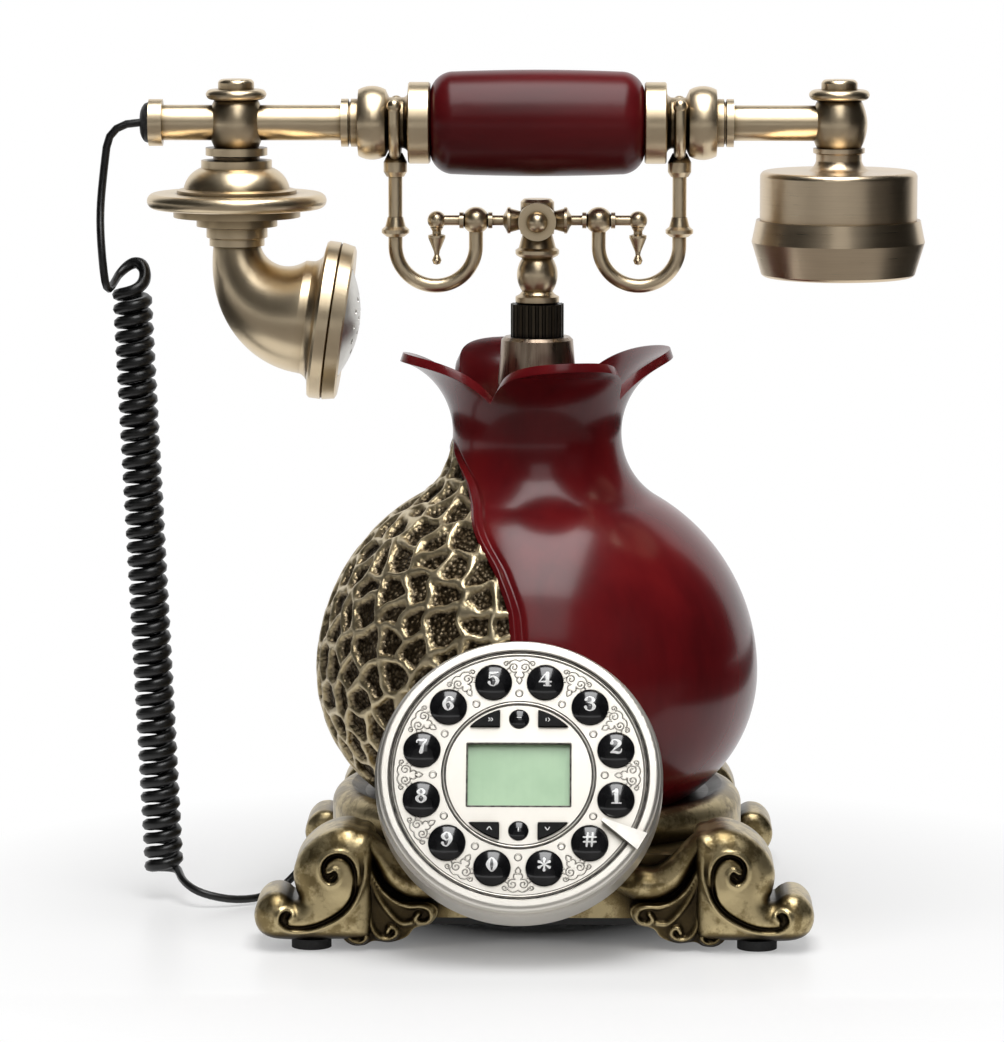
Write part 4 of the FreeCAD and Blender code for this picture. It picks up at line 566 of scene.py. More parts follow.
# %% [markdown]
# ## Floor and light
# The telephone stands on a white table in a dark studio. A broad soft light hangs over it and a little in
# front, which puts the pale patch on the fruit's shoulder and on the upper half of every key. Cards and
# cloths around the set, which only reflections and light can see, keep the lacquer deep and draw dark bands
# on the brass. A slot under the front and left cards lets the brass catch some white, and the cloth in
# front is grey, so its lower half isn't black. Near the telephone the table is an ordinary matt white that
# takes a shadow; further off it glows plain white, so the eye finds no edge.


# %% Table and cards
def mesh_from(name, verts, faces):
    """A mesh of these corners and faces."""
    mesh = bpy.data.meshes.new(name)
    mesh.from_pydata(verts, [], faces)
    return mesh


def card(name, corners, material):
    """A single quad that belongs to the studio."""
    thing = placed(name, mesh_from(name, corners, [(0, 1, 2, 3)]))
    wear(thing.data, material)
    return thing


def upright(start, end, foot):
    """The corners of a card that stands between two places and is open below a height."""
    return [(*start, foot), (*end, foot), (*end, TALL), (*start, TALL)]


def level(left, near, right, far, height):
    """The corners of a level card."""
    return [(left, near, height), (right, near, height), (right, far, height), (left, far, height)]


def seen_rays(paint):
    """1 for what the camera sees, directly, in a mirror or through glass."""
    path = paint.node("ShaderNodeLightPath").port.node.outputs
    direct, mirrored, through = (
        Wire(paint.tree, path[f"Is {kind} Ray"]) for kind in ("Camera", "Glossy", "Transmission")
    )
    return (direct + mirrored + through).between(0, 1)


GLOW_STARTS, GLOW_FULL = 0.04, 0.23
TABLE = finish("white_table", speckled(3, 2, grey(0.86), grey(0.88), 0.28, 0.1))
tree = TABLE.node_tree
paint = Wire(tree)
end = tree.nodes["Material Output"]
matt = Wire(tree, end.inputs["Surface"].links[0].from_socket)
far = paint.node("ShaderNodeVectorMath", {"operation": "LENGTH"}, {0: paint.place()}, 1)
glow = paint.node("ShaderNodeEmission", {}, {"Color": (1, 1, 1, 1), "Strength": 1.0})
share = far.between(GLOW_STARTS, GLOW_FULL) * seen_rays(paint)
both = paint.node("ShaderNodeMixShader", {}, {0: share, 1: matt, 2: glow})
tree.links.new(both.port, end.inputs["Surface"])

FELT = finish("dark_felt", speckled(9, 2, (0.016, 0.015, 0.014), (0.024, 0.022, 0.021), 0.9, 0.1))
CLOTH = finish("grey_felt", speckled(9, 2, (0.24, 0.225, 0.215), (0.28, 0.265, 0.255), 0.9, 0.1))
PALE = finish("pale_card", speckled(9, 2, (0.84, 0.82, 0.80), (0.88, 0.86, 0.84), 0.9, 0.1))
TABLE_HALF = 4.0
NEAR, REAR, WIDE, TALL, SLOT = -2.7, 2.0, 2.3, 2.3, 0.3
CLOTH_END, CLOTH_Z = -0.13, 0.002
ASIDE, ASIDE_END = 0.34, 1
card("table", level(-TABLE_HALF, -TABLE_HALF, TABLE_HALF, TABLE_HALF, 0), TABLE)
cards = {
    "card_front": (PALE, upright((-WIDE, NEAR), (WIDE, NEAR), SLOT)),
    "card_left": (FELT, upright((-WIDE, NEAR), (-WIDE, REAR), SLOT)),
    "card_right": (FELT, upright((WIDE, NEAR), (WIDE, REAR), 0)),
    "card_top": (FELT, level(-WIDE, NEAR, WIDE, REAR, TALL)),
    "cloth_front": (CLOTH, level(-WIDE, NEAR, WIDE, CLOTH_END, CLOTH_Z)),
    "cloth_left": (FELT, level(-WIDE, CLOTH_END, -ASIDE, ASIDE_END, CLOTH_Z)),
    "cloth_right": (FELT, level(ASIDE, CLOTH_END, WIDE, ASIDE_END, CLOTH_Z)),
}
for name, (material, corners) in cards.items():
    hidden = card(name, corners, material)
    hidden.visible_camera = False
    hidden.visible_shadow = False
print("cards", len(cards))


# %% World and lamps
def set_world(strength):
    """White wherever it is seen, and a softer white as light."""
    world = bpy.data.worlds.new("studio")
    world.use_nodes = True
    tree = world.node_tree
    tree.nodes.clear()
    air = Wire(tree)
    soft = air.node("ShaderNodeBackground", {}, {"Color": (1, 1, 1, 1), "Strength": strength})
    white = air.node("ShaderNodeBackground", {}, {"Color": (1, 1, 1, 1), "Strength": 1.0})
    both = air.node("ShaderNodeMixShader", {}, {0: seen_rays(air), 1: soft, 2: white})
    air.node("ShaderNodeOutputWorld", {}, {"Surface": both})
    bpy.context.scene.world = world


set_world(0.38)


def soft_lamp(name, spot, target, width, height, power):
    """A rectangular soft light aimed at a point."""
    data = bpy.data.lights.new(name, "AREA")
    data.shape = "RECTANGLE"
    data.size = width
    data.size_y = height
    data.energy = power
    lamp = placed(name, data)
    lamp.location = spot
    lamp.rotation_euler = (Vector(target) - Vector(spot)).to_track_quat("-Z", "Y").to_euler()
    return lamp


SIDE_X, SIDE_Y, SIDE_Z = 1.5, -1.1, 0.9
soft_lamp("top_light", (0.065, -0.33, 1.2), (0.065, -0.32, 0), 0.67, 1.06, 14)
soft_lamp("front_light", (0.14, -1.3, 1.15), (0.14, -0.1, 0.06), 0.66, 0.7, 2.4)
for name, side in (("left_light", -1), ("right_light", 1)):
    lamp = soft_lamp(name, (SIDE_X * side, SIDE_Y, SIDE_Z), (0, 0, 0.14), 0.6, 0.9, 6)
    lamp.visible_glossy = False
print("lamps", len(bpy.data.lights))

# %% [markdown]
# ## The curly cord
# The cord leaves the handset's left end, drops in a loose bend, winds down as a long coil and runs along
# the table to its jack. Its line is a smooth spline led by a few given points, and the curls are wound
# around points read back from that spline, so the coil bends wherever the line bends.

# %% Cord route
CURL_D = 4.1 * MM
LEAD_D = 2.7 * MM
COIL_R = 4.65 * MM
COIL_TURNS = 42.5
UPPER = [(-132.5, 0, 263.4), (-142.7, 0, 263.4), (-144.8, -1, 247), (-145.8, -5, 234), (-144.8, -12, 222)]
COIL_LINE = [(-135.9, 0, 210.7), (-133.1, 0, 150), (-129.8, 0, 80), (-126.5, 0, 9)]
LOWER = [(-113, -17, 5), (-101, -14, 2), (-90, -6, 2.2), (-82, -1, 8), (-76, 0, 17), (-55.5, 0, 17)]


def from_axis(points):
    """Points given from the body axis in mm, as vectors in metres."""
    return [Vector((x, y + AXIS_Y, z)) * MM for x, y, z in points]


print("cord points", len(UPPER) + len(COIL_LINE) + len(LOWER))


# %% Lines and tubes
def smooth_line(name, points):
    """A smooth spline led by these points, with no thickness."""
    curve = bpy.data.curves.new(name, "CURVE")
    curve.dimensions = "3D"
    spline = curve.splines.new("NURBS")
    spline.points.add(len(points) - 1)
    for point, spot in zip(spline.points, points):
        point.co = (*spot, 1)
    spline.order_u = 3
    spline.use_endpoint_u = True
    spline.resolution_u = 4
    return curve


def mesh_of(curve):
    """The mesh that a curve gives, with its holder taken away again."""
    holder = bpy.data.objects.new(curve.name, curve)
    mesh = bpy.data.meshes.new_from_object(holder)
    bpy.data.objects.remove(holder)
    return mesh


def points_on(curve):
    """Points read back from a curve."""
    return [v.co.copy() for v in mesh_of(curve).vertices]


def add_piece(name, mesh, material, body="base"):
    """A new visible piece that rides on a body."""
    wear(mesh, material)
    mesh.polygons.foreach_set("use_smooth", [True] * len(mesh.polygons))
    piece = placed(name, mesh)
    if body:
        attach(piece, body)
    return piece


def walked(points, gap=None, count=None):
    """Evenly spaced points along a line of points: so many, or about so far apart."""
    path = np.array(points)
    steps = np.linalg.norm(np.diff(path, axis=0), axis=1)
    reach = np.concatenate(([0], np.cumsum(steps)))
    marks = np.linspace(0, reach[-1], count or max(int(reach[-1] / gap), 4))
    return np.stack([np.interp(marks, reach, axis) for axis in path.T], axis=1)


# %% Wind the curls
PER_TURN = 14
steps = round(COIL_TURNS * PER_TURN)
middle_line = points_on(smooth_line("coil_line", from_axis(COIL_LINE)))
coil_line = [Vector(p) for p in walked(middle_line, count=steps + 1)]
CORNER_CUT = 1.012
ROUND_OUT = COIL_R / math.cos(math.pi / PER_TURN) * CORNER_CUT
FIRST_LIFT, LIFT_PLACE, LIFT_WIDE = 7.0 * MM, 0.32, 3.2
REACH_IN, REACH_OUT = 13 * MM, 11 * MM
THICKENS_OVER = 4
curls = []
for index, spot in enumerate(coil_line):
    before = coil_line[max(index - 1, 0)]
    after = coil_line[min(index + 1, steps)]
    down = (after - before).normalized()
    right = (Vector((1, 0, 0)) - down * down.x).normalized()
    ahead = right.cross(down)
    turn = math.pi - 2 * math.pi * index / PER_TURN
    lift = FIRST_LIFT * math.exp(-(((index - PER_TURN * LIFT_PLACE) / LIFT_WIDE) ** 2))
    curls.append(spot + (right * math.cos(turn) + ahead * math.sin(turn)) * ROUND_OUT - down * lift)
into_coil = (curls[0] - curls[1]).normalized() * REACH_IN
out_of_coil = (curls[-1] - curls[-2]).normalized() * REACH_OUT
upper = from_axis(UPPER) + [curls[0] + into_coil]
lower = [curls[-1] + out_of_coil] + from_axis(LOWER)
cord_curve = smooth_line("curly_cord", upper + curls + lower)
cord_path = points_on(cord_curve)
cord_curve.bevel_depth = CURL_D / 2
cord_curve.bevel_resolution = 2
cord_curve.use_fill_caps = True
THIN = LEAD_D / CURL_D
points = cord_curve.splines[0].points
for index, point in enumerate(points):
    into = min(index - len(upper), len(points) - len(lower) - 1 - index)
    point.radius = THIN + (1 - THIN) * min(max(into / THICKENS_OVER, 0), 1)
cord = add_piece("curly_cord", mesh_of(cord_curve), CORD, None)
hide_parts("cord_upper_lead", "cord_coil", "cord_lower_lead")
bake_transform(cord)
tuple(from_axis(UPPER)[0])

# %% [markdown]
# ## The peel
# The peel is a turned skin that is torn open over the seeds and ends in a crown of four petals. It could be
# cut from a solid, but a sheet of quads that follows the tear and the petals keeps its edges smooth. Beside
# the tear the skin rolls up into a lip with a shallow furrow behind it.

# %% Tear and petals
TEAR_MIDDLE = -83.0
TEAR = (
    (34, 66), (58, 74), (84, 77.5), (106, 76), (120, 70.5), (130, 61), (144, 40.5), (157, 3), (158, 0),
    (190, 0),
)


def tear_half(height):
    """Half the tear's angle at a height, smoothed through the table's points."""
    zs = [z for z, _ in TEAR]
    hs = [h for _, h in TEAR]
    k = int(np.clip(np.searchsorted(zs, height) - 1, 0, len(zs) - 2))
    t = (height - zs[k]) / (zs[k + 1] - zs[k])
    slope = [0.0] * len(zs)
    for i in range(1, len(zs) - 1):
        left = (hs[i] - hs[i - 1]) / (zs[i] - zs[i - 1])
        right = (hs[i + 1] - hs[i]) / (zs[i + 1] - zs[i])
        slope[i] = 0.0 if left * right <= 0 else 2 * left * right / (left + right)
    slope[0] = (hs[1] - hs[0]) / (zs[1] - zs[0])
    w = zs[k + 1] - zs[k]
    a, b = 2 * t**3 - 3 * t**2 + 1, t**3 - 2 * t**2 + t
    c, e = -2 * t**3 + 3 * t**2, t**3 - t**2
    return max(a * hs[k] + b * w * slope[k] + c * hs[k + 1] + e * w * slope[k + 1], 0.0)


PETAL_TURN = 16.0
NOTCH_LEAN = 28.0
TIP_LEAN = 73.0


def rim_length(azimuth):
    """Where the skin ends at an azimuth: long at a petal's tip, short in a notch."""
    off = (azimuth - PETAL_TURN + 45) % 90 - 45
    full = 1 - abs(off / 45) ** 2.0
    lean = NOTCH_LEAN + (TIP_LEAN - NOTCH_LEAN) * full
    return NECK_S + NECK_ARC * math.radians(lean)


# %% Dial frame
DIAL_C = Vector((-4.8, -81.5, 60.4)) * MM
DIAL_TILT = math.radians(28.0)
HOUSING_R, HOUSING_DEEP = 45.4, 17
STEM_R, STEM_DEEP = 30.2, 46
DIAL_UP = Vector((0, math.sin(DIAL_TILT), math.cos(DIAL_TILT)))
DIAL_OUT = Vector((0, -math.cos(DIAL_TILT), math.sin(DIAL_TILT)))


def on_dial(x, y, out):
    """A point on the dial, in mm across, up and out of the face."""
    return DIAL_C + (Vector((1, 0, 0)) * x + DIAL_UP * y + DIAL_OUT * out) * MM


def behind_dial(point):
    """True where the dial's round housing takes the place of the skin."""
    off = (point - DIAL_C) / MM
    depth = -off.dot(DIAL_OUT)
    aside = math.hypot(off.x, off.dot(DIAL_UP))
    return (aside < HOUSING_R and depth < HOUSING_DEEP) or (aside < STEM_R and depth < STEM_DEEP)


# %% Peel
PEEL_THICK = 3.0
COLUMNS = 300
ROWS_BODY = 130
ROWS_CROWN = 34
CROWN_S = length_at(158.0)
CROWDING = 0.105
ROLLED_FROM = 12
LIP_HIGH, LIP_PLACE = 0.85, 1.5
FURROW_DEEP, FURROW_PLACE = 0.45, 4.0


def peel_point(column, row):
    """A point of the skin. Columns crowd together beside the tear, where the lip needs them."""
    u = column / COLUMNS
    share = u - CROWDING * math.sin(2 * math.pi * u)
    s = CROWN_S * row / ROWS_BODY if row <= ROWS_BODY else CROWN_S
    half = tear_half(fruit(s)[1])
    start = TEAR_MIDDLE + half
    azimuth = start + share * (360 - 2 * half)
    if row > ROWS_BODY:
        s = CROWN_S + (rim_length(azimuth) - CROWN_S) * (row - ROWS_BODY) / ROWS_CROWN
    r = fruit(s)[0]
    edge = min(azimuth - start, 360 - 2 * half - (azimuth - start)) * math.pi / 180 * r
    rolled = min(half / ROLLED_FROM, 1.0)
    lip = LIP_HIGH * math.exp(-((edge - LIP_PLACE) ** 2))
    furrow = FURROW_DEEP * math.exp(-((edge - FURROW_PLACE) ** 2))
    return on_fruit(s, azimuth, (lip - furrow) * rolled)


def grid_mesh(name, columns, rows, point):
    """A sheet of quads from a function of column and row."""
    verts = [point(c, r) for r in range(rows + 1) for c in range(columns + 1)]
    wide = columns + 1
    faces = []
    for r in range(rows):
        for c in range(columns):
            a = r * wide + c
            faces.append((a, a + 1, a + 1 + wide, a + wide))
    return mesh_from(name, verts, faces)


def trim(mesh, unwanted):
    """Takes away the faces whose corners are all unwanted, and joins doubled corners."""
    form = bmesh.new()
    form.from_mesh(mesh)
    bmesh.ops.remove_doubles(form, verts=form.verts, dist=1e-5)
    gone = [f for f in form.faces if all(unwanted(v.co) for v in f.verts)]
    bmesh.ops.delete(form, geom=gone, context="FACES")
    form.to_mesh(mesh)
    form.free()


peel_mesh = grid_mesh("peel", COLUMNS, ROWS_BODY + ROWS_CROWN, peel_point)
trim(peel_mesh, behind_dial)
peel = add_piece("peel", peel_mesh, LACQUER)
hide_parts("peel_shell")
EDGE_ANGLE = math.radians(40.0)


def thicken(piece, thickness, round_off, even=True):
    """Gives a sheet its thickness inwards, and rounds its edges."""
    solid = piece.modifiers.new("thickness", "SOLIDIFY")
    solid.thickness = thickness * MM
    solid.offset = -1
    solid.use_even_offset = even
    if round_off:
        edge = piece.modifiers.new("rounded", "BEVEL")
        edge.width = round_off * MM
        edge.segments = 3
        edge.limit_method = "ANGLE"
        edge.angle_limit = EDGE_ANGLE


thicken(peel, PEEL_THICK, 0.9)
print("peel faces", len(peel_mesh.polygons))

# %% [markdown]
# ## The seed bed
# Under the tear the fruit is packed with seeds. The casting shows them as a net of rounded ridges around
# sunken, pebbled cells. Rows of points, each pushed a little aside, stand for the seeds. A ridge rises
# wherever two seeds are about equally near, which is how such a net grows in nature too.

# %% Seeds
BED_COLUMNS = 400
BED_ROWS = 300
RIDGE_HIGH = 2.3
RIDGE_WIDE = 1.4
FLOOR_SINK = 2.1
SEED_PITCH = 11.6
SWAY, SWAY_TURN = 0.22, 2.4
BOB, BOB_TURN = 0.2, 1.7
SPARE = 2
EDGE_SPACE = 0.55
FIRST_ROW = 0.9
STEEP_ROW, FLAT_ROW = 0.86, 0.6
BED_TOP = 160
CORNER_FILL = 0.3
RIDGE_BLUNT = 0.6
TUCK = 1.2
NECK_CLEAR = 10
AT_ONCE = 4000
TINY = 0.01
tear_heights, tear_angles = zip(*TEAR[:8])
seeds = []
count = 0
row = 0
height = SEAT_Z + SEED_PITCH * FIRST_ROW
while height < BED_TOP:
    r, _, nx, _ = fruit(length_at(height))
    step = math.degrees(SEED_PITCH / r)
    edge = np.interp(height, tear_heights, tear_angles) - math.degrees(SEED_PITCH * EDGE_SPACE / r)
    half_row = math.floor(edge / step) + SPARE
    for k in range(-half_row, half_row + 1):
        angle = (k + 0.5 * (row % 2)) * step
        kept = k >= SPARE - half_row and abs(angle) < edge and height < NECK_Z - NECK_CLEAR
        azimuth = TEAR_MIDDLE + angle + step * SWAY * math.sin(SWAY_TURN * count)
        bobbed = height + SEED_PITCH * BOB * math.cos(BOB_TURN * count)
        seeds.append(on_fruit(length_at(bobbed), azimuth))
        # Spare seeds beyond the edges only close the net, so they don't move the pattern on.
        count += kept
    height += SEED_PITCH * STEEP_ROW * nx if nx > 0.5 else SEED_PITCH * FLAT_ROW
    row += 1
seeds = np.array(seeds) / MM


def bed_spot(column, row):
    """Where a corner of the bed lies; its edge is tucked under the peel."""
    s = CROWN_S * row / BED_ROWS
    half = tear_half(fruit(s)[1]) + TUCK
    return s, TEAR_MIDDLE + half * (2 * column / BED_COLUMNS - 1)


spots = [bed_spot(c, r) for r in range(BED_ROWS + 1) for c in range(BED_COLUMNS + 1)]
base_points = np.array([on_fruit(s, a) for s, a in spots]) / MM
broad = np.sin(base_points[:, [2, 0, 1]] * 0.55)
fine = np.sin(base_points[:, [1, 2, 0]] * 1.1 + 2)
wobble = broad * 0.7 + fine * 0.35
ridges = np.empty(len(base_points))
for start in range(0, len(base_points), AT_ONCE):
    run = slice(start, start + AT_ONCE)
    part = base_points[run] + wobble[run]
    gaps = np.sort(np.linalg.norm(part[:, None] - seeds[None], axis=2), axis=1)[:, :3]
    aside = (gaps[:, 1] - gaps[:, 0]) / 2
    corner = (gaps[:, 2] - gaps[:, 0]) / 2
    rounded = 1 / np.sqrt(1 / (aside + TINY) ** 2 + CORNER_FILL / (corner + TINY) ** 2)
    ridges[run] = np.clip(1 - (rounded / RIDGE_WIDE) ** 2, 0, 1) ** RIDGE_BLUNT
lifts = ridges * RIDGE_HIGH - FLOOR_SINK
wide = BED_COLUMNS + 1


def bed_point(column, row):
    s, azimuth = bed_spot(column, row)
    return on_fruit(s, azimuth, lifts[row * wide + column])


bed_mesh = grid_mesh("seed_bed", BED_COLUMNS, BED_ROWS, bed_point)
layer = bed_mesh.attributes.new("ridge", "FLOAT", "POINT")
layer.data.foreach_set("value", ridges)
trim(bed_mesh, behind_dial)
bed = add_piece("seed_bed", bed_mesh, SEEDS)
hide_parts("seed_core")
thicken(bed, 2.0, 0, even=False)
print("seeds", len(seeds), "faces", len(bed_mesh.polygons))

# %% Crown floor
FLOOR_R, HOLE_R, FLOOR_LOW, FLOOR_TOP = 26.5, 7.2, 163, 166
FLOOR_SIDES = 96
WASHER = [(FLOOR_R, FLOOR_LOW), (FLOOR_R, FLOOR_TOP), (HOLE_R, FLOOR_TOP), (HOLE_R, FLOOR_LOW)]


def washer_point(column, row):
    """A corner of the washer under the petals. Its last column meets its first."""
    return about_axis(*WASHER[row], 360 * column / FLOOR_SIDES)


washer = grid_mesh("crown_floor", FLOOR_SIDES, len(WASHER) - 1, washer_point)
trim(washer, lambda point: False)
crown_floor = add_piece("crown_floor", washer, GOLD)

# %% [markdown]
# ## Carved feet
# Each corner stands on a scroll: a round shoulder that curls inwards, a waist, and a toe that curls up. A
# fan of leaves and a smooth wing lie beside it. A carver draws the outline, swells the wood towards the
# middle and then cuts the curls in, and the helpers below do the same: the outline is filled with small
# triangles, the distance to its edge gives the swelling, and lines drawn on it become ridges and grooves.


# %% Carver's helpers
def flowing(points, closed=False, gap=0.8):
    """An even, smooth line through drawn points."""
    drawn = np.array(points, float)
    before, after = 2 * drawn[:1] - drawn[1:2], 2 * drawn[-1:] - drawn[-2:-1]
    if closed:
        before, after = drawn[-1:], drawn[:2]
    p = np.concatenate((before, drawn, after))
    t = np.linspace(0, 1, 16, endpoint=False)[:, None]
    runs = []
    for a, b, c, e in zip(p, p[1:], p[2:], p[3:]):
        bend, twist = 2 * a - 5 * b + 4 * c - e, 3 * b - a - 3 * c + e
        runs.append(0.5 * (2 * b + (c - a) * t + bend * t**2 + twist * t**3))
    even = walked(np.concatenate(runs + [p[-2:-1]]), gap)
    return even[:-1] if closed else even


def beside(points, line):
    """For each point, the distance to a line, below zero on its right, and how far along it is."""
    start, run = line[:-1], np.diff(line, axis=0)
    off = points[:, None] - start[None]
    t = np.clip((off * run).sum(axis=2) / (run**2).sum(axis=1), 0, 1)
    gap = np.linalg.norm(off - t[..., None] * run, axis=2)
    nearest = gap.argmin(axis=1)
    pick = np.arange(len(points)), nearest
    cross = run[nearest, 0] * off[pick][:, 1] - run[nearest, 1] * off[pick][:, 0]
    return gap[pick] * np.where(cross < 0, -1, 1), (nearest + t[pick]) / len(run)


def inside(points, ring):
    """True for the points within a closed ring."""
    a, b = ring, np.roll(ring, -1, axis=0)
    x, z = points[:, :1], points[:, 1:]
    spans = (a[:, 1] > z) != (b[:, 1] > z)
    with np.errstate(divide="ignore", invalid="ignore"):
        crossing = a[:, 0] + (z - a[:, 1]) / (b[:, 1] - a[:, 1]) * (b[:, 0] - a[:, 0])
    return (spans & (x < crossing)).sum(axis=1) % 2 == 1


def swell(distance, radius):
    """A quarter-round rise from an edge."""
    return radius * np.sqrt(1 - (1 - np.clip(distance / radius, 0, 1)) ** 2)


BEAD_GROWS, GROOVE_PLACE = 0.12, 1.9


def bead(points, line, high, wide, groove, side):
    """A raised bead along a line, with a groove on one side, that grows in from the line's start."""
    off, along = beside(points, line)
    grown = np.clip(along / BEAD_GROWS, 0, 1)
    cut = groove * np.exp(-(((off * side - GROOVE_PLACE * wide) / wide) ** 2))
    return (high * np.exp(-((off / wide) ** 2)) - cut) * grown


CLEAR_OF_RING, INSETS, INSET_LEAST = 0.9, (0.12, 0.4), 0.8
RELIEF_MOST, BACK_ROUND = 1.5, 4.0


def carving(name, outline, height, round_edge, front, back, step=0.8, round_back=True):
    """A carved block: its outline in x and z, its front at a depth in y less the carved height."""
    ring = flowing(outline, closed=True, gap=step)
    low, high = ring.min(axis=0), ring.max(axis=0)
    xs, zs = np.meshgrid(np.arange(low[0], high[0], step), np.arange(low[1], high[1], step))
    spots = np.stack((xs.ravel(), zs.ravel()), axis=1)
    closed_ring = np.concatenate((ring, ring[:1]))
    spots = spots[inside(spots, ring)]
    spots = spots[np.abs(beside(spots, closed_ring)[0]) > CLEAR_OF_RING * step]
    along = np.roll(ring, -1, axis=0) - np.roll(ring, 1, axis=0)
    normal = np.stack((-along[:, 1], along[:, 0]), axis=1) / np.linalg.norm(along, axis=1)[:, None]
    if not inside(ring + normal * 0.1, ring)[0]:
        normal = -normal
    for inset in INSETS:
        near = ring + normal * inset
        fits = inside(near, ring) & (np.abs(beside(near, closed_ring)[0]) > INSET_LEAST * inset)
        spots = np.concatenate((spots, near[fits]))
    every = [Vector(p) for p in np.concatenate((ring, spots))]
    flat, _, faces, *_ = delaunay_2d_cdt(every, [], [list(range(len(ring)))], 1, 1e-5)
    places = np.array(flat)
    distance = np.abs(beside(places, closed_ring)[0])
    rise = height(places, distance)
    relief = np.clip(rise - swell(distance, round_edge), -RELIEF_MOST, RELIEF_MOST)
    behind = swell(distance, BACK_ROUND) if round_back else distance * 0
    count = len(places)
    verts = [(x, front - h, z) for (x, z), h in zip(places, rise)]
    verts += [(x, back + h, z) for (x, z), h in zip(places, behind)]
    skin = [tuple(f) for f in faces] + [tuple(i + count for i in reversed(f)) for f in faces]
    pairs = {}
    for face in faces:
        for i, j in zip(face, (*face[1:], face[0])):
            pairs[(i, j)] = True
    skin += [(j, i, i + count, j + count) for i, j in pairs if (j, i) not in pairs]
    mesh = mesh_from(name, from_axis(verts), skin)
    layer = mesh.attributes.new("relief", "FLOAT", "POINT")
    layer.data.foreach_set("value", np.concatenate((relief, behind * 0)))
    form = bmesh.new()
    form.from_mesh(mesh)
    bmesh.ops.recalc_face_normals(form, faces=form.faces)
    form.to_mesh(mesh)
    form.free()
    return mesh


# %% Drawn lines
SCROLL = [
    (52.2, 8), (52.2, 22), (52.2, 36.5), (57, 39.4), (61, 40.4), (66, 39.4), (71.5, 36.4), (75.9, 31.6),
    (78, 25.9), (77.4, 20.3), (76.4, 16.9), (78.4, 16.4), (80.2, 17.8), (83, 18.9), (86.8, 18.2),
    (89.8, 15.2), (90.9, 10.8), (89.4, 6.4), (85.6, 3.9), (79.5, 3.2), (72.2, 3.4), (63, 3.4),
    (55, 3.6),
]
CURL = [
    (58.2, 15.5), (56.8, 20), (56.4, 25.3), (57.6, 29.8), (60.2, 32.6), (63.6, 33.4), (67.2, 32),
    (69.2, 28.8), (68.7, 24.8), (66, 22.5), (63.4, 23.6), (62.8, 26.2), (64.4, 27.8), (66, 26.8),
]
STALK = [
    (54.6, 33), (54.6, 25.3), (56.4, 19), (60.2, 13.4), (65.5, 9.6), (72.2, 7.0), (78.9, 6.8),
    (82.8, 9.6), (82.4, 13), (79.9, 14.2), (78, 12.6), (79, 10.9),
]
WING = [
    (24.2, 22.2), (26, 24.2), (29.4, 24), (31.8, 26.2), (35, 26.8), (39.4, 26.6), (44.3, 29.7),
    (48.5, 34.1), (52.8, 37.9), (56.5, 38.6), (56, 34), (52.8, 29.1), (49.7, 23.4), (45.5, 19),
    (40, 16.4), (34.5, 16), (30.9, 17.1), (26.6, 19.7),
]
FAN = [
    (54.6, 33.2), (52, 26), (48.5, 20), (44, 16.4), (39, 15.8), (34, 15.6), (31.3, 12.7), (33.6, 8.8),
    (38.6, 7.4), (41.4, 4.4), (46.7, 2.6), (52, 3), (55.2, 1.6), (59, 1.6), (62, 3.9), (62.9, 8.3),
    (61.6, 12), (58.9, 17.5), (56.4, 24),
]
LEAVES = [
    [(54.3, 32), (52.6, 26), (49.6, 20.6), (45, 16.6), (40.6, 14.6), (37, 14.8), (33.8, 13.6),
     (33.4, 10.6), (36, 9), (38.4, 10.4), (37.4, 12.4)],
    [(54.4, 31), (52.8, 23), (49.7, 16.4), (45.5, 11), (42.6, 9), (39.8, 9.4)],
    [(54.5, 31), (53.8, 22), (53.6, 15), (53, 9), (50.8, 5), (47.6, 3.9), (44.8, 5.2), (44.8, 7.4),
     (46.8, 7.8), (47.4, 6.2)],
    [(54.9, 30.4), (56.6, 21.5), (59, 15.5), (60.8, 11), (61, 7), (59.2, 3.6), (56.2, 2.8), (54.4, 4.4),
     (55.4, 6), (56.8, 5)],
]
print("drawn points", sum(len(line) for line in (SCROLL, CURL, STALK, WING, FAN, *LEAVES)))

# %% Carve one foot
curl = flowing(CURL)
stalk = flowing(STALK)
leaves = [flowing(line) for line in LEAVES]
SCROLL_SWELL, WING_SWELL, FAN_SWELL = 7.0, 6.0, 3.0
SHOULDER, SHOULDER_R = (62, 22.5), 5.0
BEAD_HIGH, BEAD_WIDE = 0.9, 0.7
CURL_GROOVE, STALK_GROOVE = 1.7, 1.4
LEAF_EDGE, LEAF_FLAT = 2.2, 0.8
RIB_WIDE, RIB_FADE = 1.05, 0.7
RIB_LOW, RIB_HIGH, RIB_GROWS = 1.2, 1.2, 1.3


def scroll_height(places, distance):
    """The scroll's swollen front: a curl on its shoulder, and a stalk that runs into the toe's curl."""
    rise = swell(distance, SCROLL_SWELL)
    rise += bead(places, curl, BEAD_HIGH, BEAD_WIDE, CURL_GROOVE, -1)
    rise += bead(places, stalk, BEAD_HIGH, BEAD_WIDE, STALK_GROOVE, 1)
    ball = np.linalg.norm(places - SHOULDER, axis=1)
    return rise + np.exp(-((ball / SHOULDER_R) ** 2))


def fan_height(places, distance):
    """Scooped leaves between raised ribs."""
    rise = swell(distance, LEAF_EDGE) * LEAF_FLAT
    for line in leaves:
        off, along = beside(places, line)
        rib = np.exp(-((off / RIB_WIDE) ** 2)) * np.clip(distance / RIB_FADE, 0, 1)
        rise = np.maximum(rise, RIB_LOW + (RIB_HIGH + RIB_GROWS * along) * rib)
    return rise


def wing_height(places, distance):
    """A smooth swelling."""
    return swell(distance, WING_SWELL)


